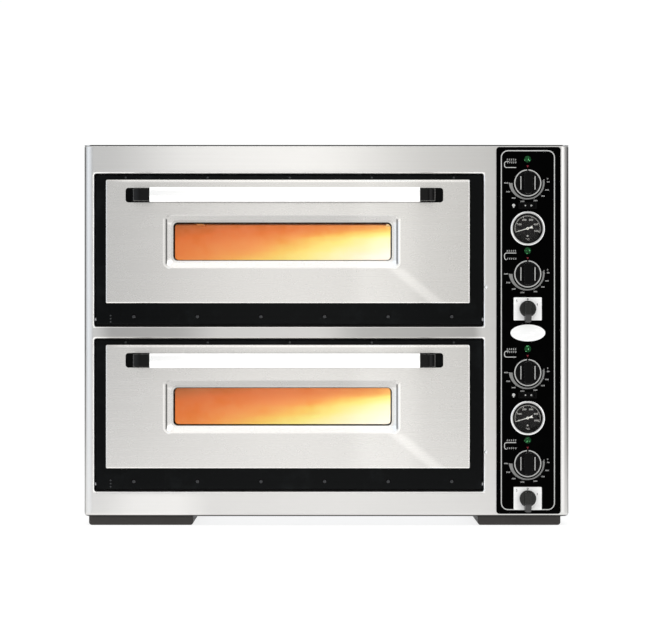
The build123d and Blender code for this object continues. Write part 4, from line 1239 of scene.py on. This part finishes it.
@dataclass
class HeatMark:
    """The print above and left of a heat knob: two rows of heat waves about a bent line.

    Heights are above the knob's middle: the line's top and foot, then the two rows of waves.
    """

    heat: Heat
    left: float = -45.4 * MM
    right: float = -22.5 * MM
    bend: float = 4.2 * MM
    short_top: float = 8.5 * MM
    line_width: float = 1.5 * MM
    wave_width: float = 0.9 * MM
    waves: int = 5
    first_wave: float = 5.5 * MM
    wave_pitch: float = 4.0 * MM
    row_shift: float = 0.6 * MM
    wave: Outline = ((-1.0, -1.5), (0.9, -0.45), (-0.9, 0.45), (1.0, 1.5))
    top_heights: tuple[float, ...] = (42.0 * MM, 30.4 * MM, 45.8 * MM, 40.4 * MM)
    bottom_heights: tuple[float, ...] = (41.0 * MM, 28.0 * MM, 45.4 * MM, 30.0 * MM)

    def print_on(self, sheet: Sheet, knob: Vector) -> None:
        """Adds the mark of a knob to the panel's white print."""
        from_above = self.heat is Heat.TOP
        heights = self.top_heights if from_above else self.bottom_heights
        top, foot, *rows = (knob.z + height for height in heights)
        left, right, bend = knob.x + self.left, knob.x + self.right, self.bend
        line = [(left + self.short_top if from_above else right, top)]
        line += arc(left + bend, top - bend, bend, 90, 180, 5)
        line += arc(left + bend, foot + bend, bend, 180, 270, 5)
        if from_above:
            line += [(right, foot)]
        sheet.stroke(line, self.line_width)
        for index, z in enumerate(rows):
            for step in range(self.waves):
                x = left + self.first_wave + self.wave_pitch * step + self.row_shift * index
                sheet.stroke(about(x, z, *self.wave), self.wave_width)


@dataclass
class Thermometer:
    """One deck's dial face and needle.

    A tick is its inner radius and its width. Every so many ticks, one is long and has a number.
    """

    deck: Deck
    x: float
    z: float
    dial_y: float
    start: float = 196.5
    sweep: float = 213.0
    line: Point = (24.5 * MM, 25.2 * MM)
    line_inset: float = 2.0
    tick_outer: float = 24.3 * MM
    long_tick: Point = (21.6 * MM, 1.0 * MM)
    short_tick: Point = (23.0 * MM, 0.5 * MM)
    ticks_a_number: int = 5
    numbers: tuple[int, ...] = (0, 100, 200, 300, 400, 500)
    number_radius: float = 17.9 * MM
    number_size: float = 4.6 * MM
    number_stretch: float = 1.25
    unit_drop: float = 21.5 * MM
    unit_size: float = 4.4 * MM
    unit_stretch: float = 1.7
    dot_drop: float = 14.5 * MM
    dot: Point = (0.6 * MM, 1.6 * MM)

    def dress(self) -> None:
        """Gives the needle its finish and the dial its print."""
        dress(f"{self.deck}_deck_thermometer_needle", Shop.NEEDLE)
        face = Sheet(self.dial_y)
        x, z = self.x, self.z
        start, end = self.start + self.line_inset, self.start - self.sweep - self.line_inset
        face.band(*(arc(x, z, radius, start, end) for radius in self.line))
        last = (len(self.numbers) - 1) * self.ticks_a_number
        for index in range(last + 1):
            angle = self.start - self.sweep * index / last
            inner, width = self.short_tick if index % self.ticks_a_number else self.long_tick
            face.stroke([on_circle(x, z, inner, angle), on_circle(x, z, self.tick_outer, angle)], width)
        for index, number in enumerate(self.numbers):
            angle = self.start - self.sweep * index / (len(self.numbers) - 1)
            place = on_circle(x, z, self.number_radius, angle)
            face.text(str(number), *place, self.number_size, self.number_stretch)
        face.text("°C", x, z - self.unit_drop, self.unit_size, self.unit_stretch)
        face.ring(x, z - self.dot_drop, *self.dot, 16)
        face.piece(f"{self.deck}_dial_print", "casing", Shop.DIAL_INK, "needle_white")


@dataclass
class MainSwitch:
    """One deck's main switch: its handle, and the off ring, on bar and bolt on its plate."""

    deck: Deck
    x: float
    z: float
    plate_y: float
    off_rise: float = 19.0 * MM
    off_ring: Point = (0.9 * MM, 1.9 * MM)
    on_radius: float = 20.5 * MM
    on_angle: float = 25.0
    on_width: float = 1.1 * MM
    on_bar: Outline = ((0.0, -2.2), (0.0, 2.2))
    bolt_left: float = 21.5 * MM
    bolt_rise: float = 15.5 * MM
    bolt_halves: tuple[Outline, Outline] = (
        ((-1.6, 0.2), (0.6, 3.6), (0.5, 0.9)),
        ((1.8, 0.2), (-0.4, -3.2), (-0.3, -0.5)),
    )

    def dress(self) -> None:
        """Gives the handle its finish and the plate its marks."""
        body = f"{self.deck}_deck_main_switch_handle"
        dress(body, LeverPlastic(f"{self.deck}_switch_handle_plastic", boss_z=self.z))
        marks = Sheet(self.plate_y)
        marks.ring(self.x, self.z + self.off_rise, *self.off_ring)
        on_place = on_circle(self.x, self.z, self.on_radius, self.on_angle)
        marks.stroke(about(*on_place, *self.on_bar), self.on_width)
        for half in self.bolt_halves:
            marks.plate(about(self.x - self.bolt_left, self.z + self.bolt_rise, *half))
        marks.piece(f"{self.deck}_switch_plate_print", "casing", Shop.KNOB, "black_plastic")


@dataclass
class LightRocker:
    """One deck's lamp switch with a mark on each half of its hollow face, and the bulb printed beside it."""

    deck: Deck
    panel_y: float
    valley: float = 1.2 * MM
    slope: float = 5.0
    throw: float = 12.0
    left_mark: float = -4.4 * MM
    dot: float = 1.3 * MM
    right_mark: float = 7.0 * MM
    ring: Point = (0.8 * MM, 1.7 * MM)
    bulb_left: float = 27.5 * MM
    bulb_drop: float = 0.3 * MM
    bulb_radius: float = 3.0 * MM
    bulb_rise: float = 0.8 * MM
    bulb_foot: Outline = ((-1.4, -1.6), (-1.0, -4.2), (1.0, -4.2), (1.4, -1.6))

    @property
    def body(self) -> str:
        """The rocker's CAD body and node."""
        return f"{self.deck}_deck_light_rocker"

    def dress(self) -> None:
        """Gives the rocker its finish and its marks, which lie on the two slopes."""
        dress(self.body, Shop.ROCKER)
        x, _, z = middle(self.body)
        marks = Sheet(0.0, 0.06 * MM)
        marks.plate(circle(x + self.left_mark, z, self.dot))
        marks.ring(x + self.right_mark, z, *self.ring)
        for corner in marks.mesh.verts:
            aside = corner.co.x - x
            lean = math.tan(math.radians(self.slope + (self.throw if aside > 0 else 0.0)))
            corner.co.y += self.panel_y - self.valley - abs(aside) * lean
        marks.piece(f"{self.deck}_rocker_print", self.body, Shop.WHITE_INK, "white_plastic")

    def print_bulb(self, sheet: Sheet) -> None:
        """Adds the small bulb left of the rocker to the panel's white print."""
        rocker = middle(self.body)
        x, z = rocker.x - self.bulb_left, rocker.z - self.bulb_drop
        sheet.plate(circle(x, z + self.bulb_rise, self.bulb_radius, 24))
        sheet.plate(about(x, z, *self.bulb_foot))


@dataclass
class ControlPanel:
    """The black panel with all its prints and the controls on it."""

    gauge_drop: float = 88.94 * MM
    dial_depth: float = 2.0 * MM
    switch_drop: float = 68.28 * MM
    plate_height: float = 2.0 * MM
    pointer: Outline = ((-2.2, 2.0), (0.0, -2.4), (2.2, 2.0))
    pointer_rise: tuple[tuple[Heat, float], ...] = ((Heat.TOP, 32.5 * MM), (Heat.BOTTOM, 30.6 * MM))
    outline_left: float = 342.2 * MM
    outline_right: float = 446.2 * MM
    outline_margin: float = 7.5 * MM
    outline_radius: float = 14.0 * MM
    outline_width: float = 1.9 * MM
    badge_z: float = 376.8 * MM
    badge_half: Point = (34.0 * MM, 16.5 * MM)
    badge_thickness: float = 0.8 * MM

    def dress(self) -> None:
        """Dresses the shared control nodes."""
        dress_all(
            {
                "control_panel": Shop.PANEL,
                "light_switch_frames": Shop.ROCKER,
                "main_switch_bodies": Shop.KNOB,
                "main_switch_plates": Shop.WHITE_PLATE,
                "pilot_lamps": Shop.LENS,
                "thermometer_cases": Shop.GAUGE_RIM,
                "thermometer_dials": Shop.DIAL,
                "thermometer_lenses": Shop.DIAL_GLASS,
            }
        )

    def build(self) -> None:
        """Adds the controls of both decks and every print on the panel."""
        low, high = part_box("control_panel")
        face_y = low.y
        white, grey_sheet, red = Sheet(face_y), Sheet(face_y), Sheet(face_y)
        for deck in Deck:
            centres = {}
            for heat in Heat:
                knob = HeatKnob(deck, heat, face_y)
                knob.dress()
                knob.print_scale(white, grey_sheet)
                centres[heat] = middle(knob.body)
            top, bottom = centres[Heat.TOP], centres[Heat.BOTTOM]
            Thermometer(deck, top.x, top.z - self.gauge_drop, face_y + self.dial_depth).dress()
            MainSwitch(deck, bottom.x, bottom.z - self.switch_drop, face_y - self.plate_height).dress()
            rocker = LightRocker(deck, face_y)
            rocker.dress()
            for heat, rise in self.pointer_rise:
                centre = centres[heat]
                red.plate(about(centre.x, centre.z + rise, *self.pointer))
                HeatMark(heat).print_on(white, centre)
            rocker.print_bulb(white)
        self._outline(white, low.z, high.z)
        white.piece("panel_white_print", "casing", Shop.WHITE_INK, "white_plastic")
        grey_sheet.piece("panel_scale_print", "casing", Shop.GREY_INK, "white_plastic")
        red.piece("panel_pointer_print", "casing", Shop.RED_INK, "white_plastic")
        self._badge(face_y)

    def _outline(self, sheet: Sheet, bottom: float, top: float) -> None:
        """Adds the rounded outline near the panel's edge."""
        half = self.outline_width / 2
        outer, inner = (
            rounded(
                self.outline_left - half + inset,
                self.outline_right + half - inset,
                bottom + self.outline_margin + inset,
                top - self.outline_margin + half - inset,
                self.outline_radius - inset,
            )
            for inset in (0.0, self.outline_width)
        )
        sheet.band(inner, outer, True)

    def _badge(self, face_y: float) -> None:
        """Adds the bare oval badge."""
        x, z = (self.outline_left + self.outline_right) / 2, self.badge_z
        half_x, half_z = self.badge_half
        turns = [math.radians(5 * index) for index in range(72)]
        plate = Sheet(face_y, self.badge_thickness)
        plate.plate([(x + half_x * math.cos(turn), z + half_z * math.sin(turn)) for turn in turns])
        plate.piece("badge_plate", "casing", Shop.WHITE_PLATE, "white_plastic")


# Studio


@dataclass
class Card:
    """A light or dark card that only reflections see.

    It stands turned round the oven by so many degrees from the front. Its columns are its brightness from its
    left to its right, as ramp stops.
    """

    name: str
    turn: float
    distance: float
    half: float
    height: float
    columns: Stops

    def build(self) -> None:
        """Stands the card."""
        half, height = self.half, self.height
        shape = bpy.data.meshes.new(self.name)
        corners = [(-half, 0, 0), (half, 0, 0), (half, 0, height), (-half, 0, height)]
        shape.from_pydata(corners, [], [(0, 1, 2, 3)])
        material, graph = blank_material(self.name)
        x, _, _ = graph.axes()
        light = graph.ramp((x + half) / (2 * half), self.columns)
        glow = graph.signal("ShaderNodeEmission", None, {"Color": light, "Strength": 1.0})
        graph.node("ShaderNodeOutputMaterial", None, {"Surface": glow})
        shape.materials.append(material)
        card = stand(self.name, shape)
        angle = math.radians(self.turn)
        card.location = (self.distance * math.sin(angle), -self.distance * math.cos(angle), 0.0)
        card.rotation_euler.z = angle
        card.visible_camera = False
        card.visible_shadow = False
        card.visible_diffuse = False


@dataclass
class Softbox:
    """A soft area light that faces a point of the oven and shows in no reflection."""

    name: str
    place: Place
    aim: Place
    width: float
    watts: float
    tint: Colour
    height: float = 1.8

    def build(self) -> None:
        """Hangs the softbox."""
        light = bpy.data.lights.new(self.name, "AREA")
        light.shape = "RECTANGLE"
        light.size = self.width
        light.size_y = self.height
        light.energy = self.watts
        light.color = self.tint
        box = stand(self.name, light)
        box.location = self.place
        box.rotation_euler = (Vector(self.aim) - Vector(self.place)).to_track_quat("-Z", "Y").to_euler()
        box.visible_camera = False
        box.visible_glossy = False


@dataclass
class Studio:
    """Floor, light cards, soft lights and the long lens."""

    lens: float = 180.0
    sensor: float = 36.0
    view_width: float = 1.275
    aim: Point = (-0.002, 0.408)
    sky: float = 1.0
    backdrop: float = 1.02
    floor_half: float = 30.0
    floor_drop: float = 0.3 * MM
    floor_tint: Colour = grey(0.26)
    floor_glow: float = 0.80

    def floor(self) -> None:
        """Lays a wide pale floor."""
        half = self.floor_half
        shape = bpy.data.meshes.new("studio_floor")
        corners = [(-half, -half, 0), (half, -half, 0), (half, half, 0), (-half, half, 0)]
        shape.from_pydata(corners, [], [(0, 1, 2, 3)])
        material, graph = blank_material("studio_floor_paper")
        tooth = graph.noise(40.0, 2.0, 0.5)
        graph.surface(
            {
                "Base Color": graph.shaded(self.floor_tint, 0.99 + tooth * 0.02),
                "Roughness": 0.9,
                "Specular IOR Level": 0.1,
                "Emission Color": WHITE,
                "Emission Strength": self.floor_glow,
            }
        )
        shape.materials.append(material)
        ground = stand("studio_floor", shape)
        ground.location.z = -self.floor_drop

    def world(self) -> None:
        """Sets a white backdrop, with a dimmer sky for light and reflections that brightens overhead."""
        surround = bpy.data.worlds.new("studio_surround")
        surround.use_nodes = True
        graph = Graph(surround.node_tree)
        direction = graph.signal("ShaderNodeTexCoord", output="Generated")
        way = graph.node("ShaderNodeSeparateXYZ", None, {0: direction})
        tones: Stops = [
            (0.0, (0.42, 0.43, 0.44)),
            (0.35, (0.62, 0.63, 0.64)),
            (0.62, (1.0, 1.0, 0.99)),
            (1.0, (1.05, 1.05, 1.04)),
        ]
        sky = graph.ramp(Signal(graph, way.outputs[2]), tones)
        backdrop = graph.signal("ShaderNodeBackground", None, {"Color": WHITE, "Strength": self.backdrop})
        fill = graph.signal("ShaderNodeBackground", None, {"Color": sky, "Strength": self.sky})
        seen = graph.signal("ShaderNodeLightPath", output="Is Camera Ray")
        light = graph.signal("ShaderNodeMixShader", None, {0: seen, 1: fill, 2: backdrop})
        graph.node("ShaderNodeOutputWorld", None, {"Surface": light})
        bpy.context.scene.world = surround

    def lights(self) -> None:
        """Stands the cards and hangs the softboxes."""
        front: Stops = [
            (0.0, (0.62, 0.64, 0.66)),
            (0.24, (0.56, 0.58, 0.60)),
            (0.30, grey(0.50)),
            (0.335, (0.52, 0.52, 0.51)),
            (0.375, (0.98, 0.98, 0.97)),
            (0.41, (1.20, 1.19, 1.18)),
            (0.465, (1.27, 1.26, 1.24)),
            (0.53, (1.12, 1.11, 1.09)),
            (0.555, (1.26, 1.27, 1.24)),
            (0.57, (1.36, 1.37, 1.34)),
            (0.585, (0.80, 0.80, 0.78)),
            (0.62, (0.68, 0.68, 0.66)),
            (0.72, grey(0.55)),
            (0.80, grey(0.32)),
            (1.0, grey(0.30)),
        ]
        cool: Stops = [(0.0, (0.55, 0.60, 0.66)), (0.4, (1.15, 1.22, 1.30)), (1.0, (0.80, 0.84, 0.90))]
        fall = ((0.0, 1.5), (0.32, 1.7), (0.48, 0.80), (0.62, 0.42), (0.80, 0.20), (1.0, 0.03))
        fade: Stops = [(place, grey(tone)) for place, tone in fall]
        dark: Stops = [(0.0, (0.02, 0.02, 0.022)), (0.5, (0.03, 0.03, 0.032)), (1.0, (0.02, 0.02, 0.022))]
        left: Stops = [(0.0, grey(0.02)), (0.5, grey(0.05)), (1.0, grey(0.40))]
        right: Stops = [(1 - place, tone) for place, tone in reversed(left)]
        chest = (0.0, -0.2, 0.4)
        for item in (
            Card("front_card", 0.0, 2.6, 1.4, 3.2, front),
            Card("left_wall", -62.0, 3.0, 1.8, 3.0, cool),
            Card("right_wall", 62.0, 2.6, 1.9, 3.0, fade),
            Card("back_flag", 180.0, 3.4, 3.4, 1.3, dark),
            Card("left_flag", 240.0, 2.8, 0.8, 1.3, left),
            Card("right_flag", 110.0, 2.8, 1.1, 1.3, right),
            Softbox("left_softbox", (-2.4, -2.4, 1.2), chest, 0.9, 14.0, (0.97, 1.0, 1.0)),
            Softbox("right_softbox", (2.2, -2.6, 1.2), chest, 0.9, 14.0, (1.0, 0.99, 0.97)),
            Softbox("top_softbox", (0.0, -0.6, 3.0), (0.0, -0.1, 0.4), 2.6, 34.0, (1.0, 1.0, 0.99)),
        ):
            item.build()

    def camera(self) -> None:
        """Sets the long lens level with the oven's middle."""
        low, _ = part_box("front_fascia")
        data = bpy.data.cameras.new("front_camera")
        data.lens = self.lens
        data.sensor_width = self.sensor
        data.sensor_fit = "HORIZONTAL"
        data.clip_end = 60.0
        camera = stand("front_camera", data)
        camera.location = (self.aim[0], low.y - self.lens * self.view_width / self.sensor, self.aim[1])
        camera.rotation_euler = (math.pi / 2, 0.0, 0.0)
        bpy.context.scene.camera = camera
        bpy.context.scene.view_settings.view_transform = "Standard"

    def build(self) -> None:
        """Sets up the whole studio."""
        self.floor()
        self.world()
        self.lights()
        self.camera()
        LOG.info("studio stands")


def main() -> None:
    """Builds the oven's looks and its studio, in order."""
    logging.basicConfig(level=logging.INFO, format="%(message)s")
    Casing().dress()
    for chamber in (Chamber(Deck.UPPER, 0.530, 0.613), Chamber(Deck.LOWER, 0.173, 0.256)):
        chamber.dress()
        chamber.light()
    for deck in Deck:
        Door(deck).dress()
    panel = ControlPanel()
    panel.dress()
    panel.build()
    Studio().build()


if __name__ == "__main__":
    main()
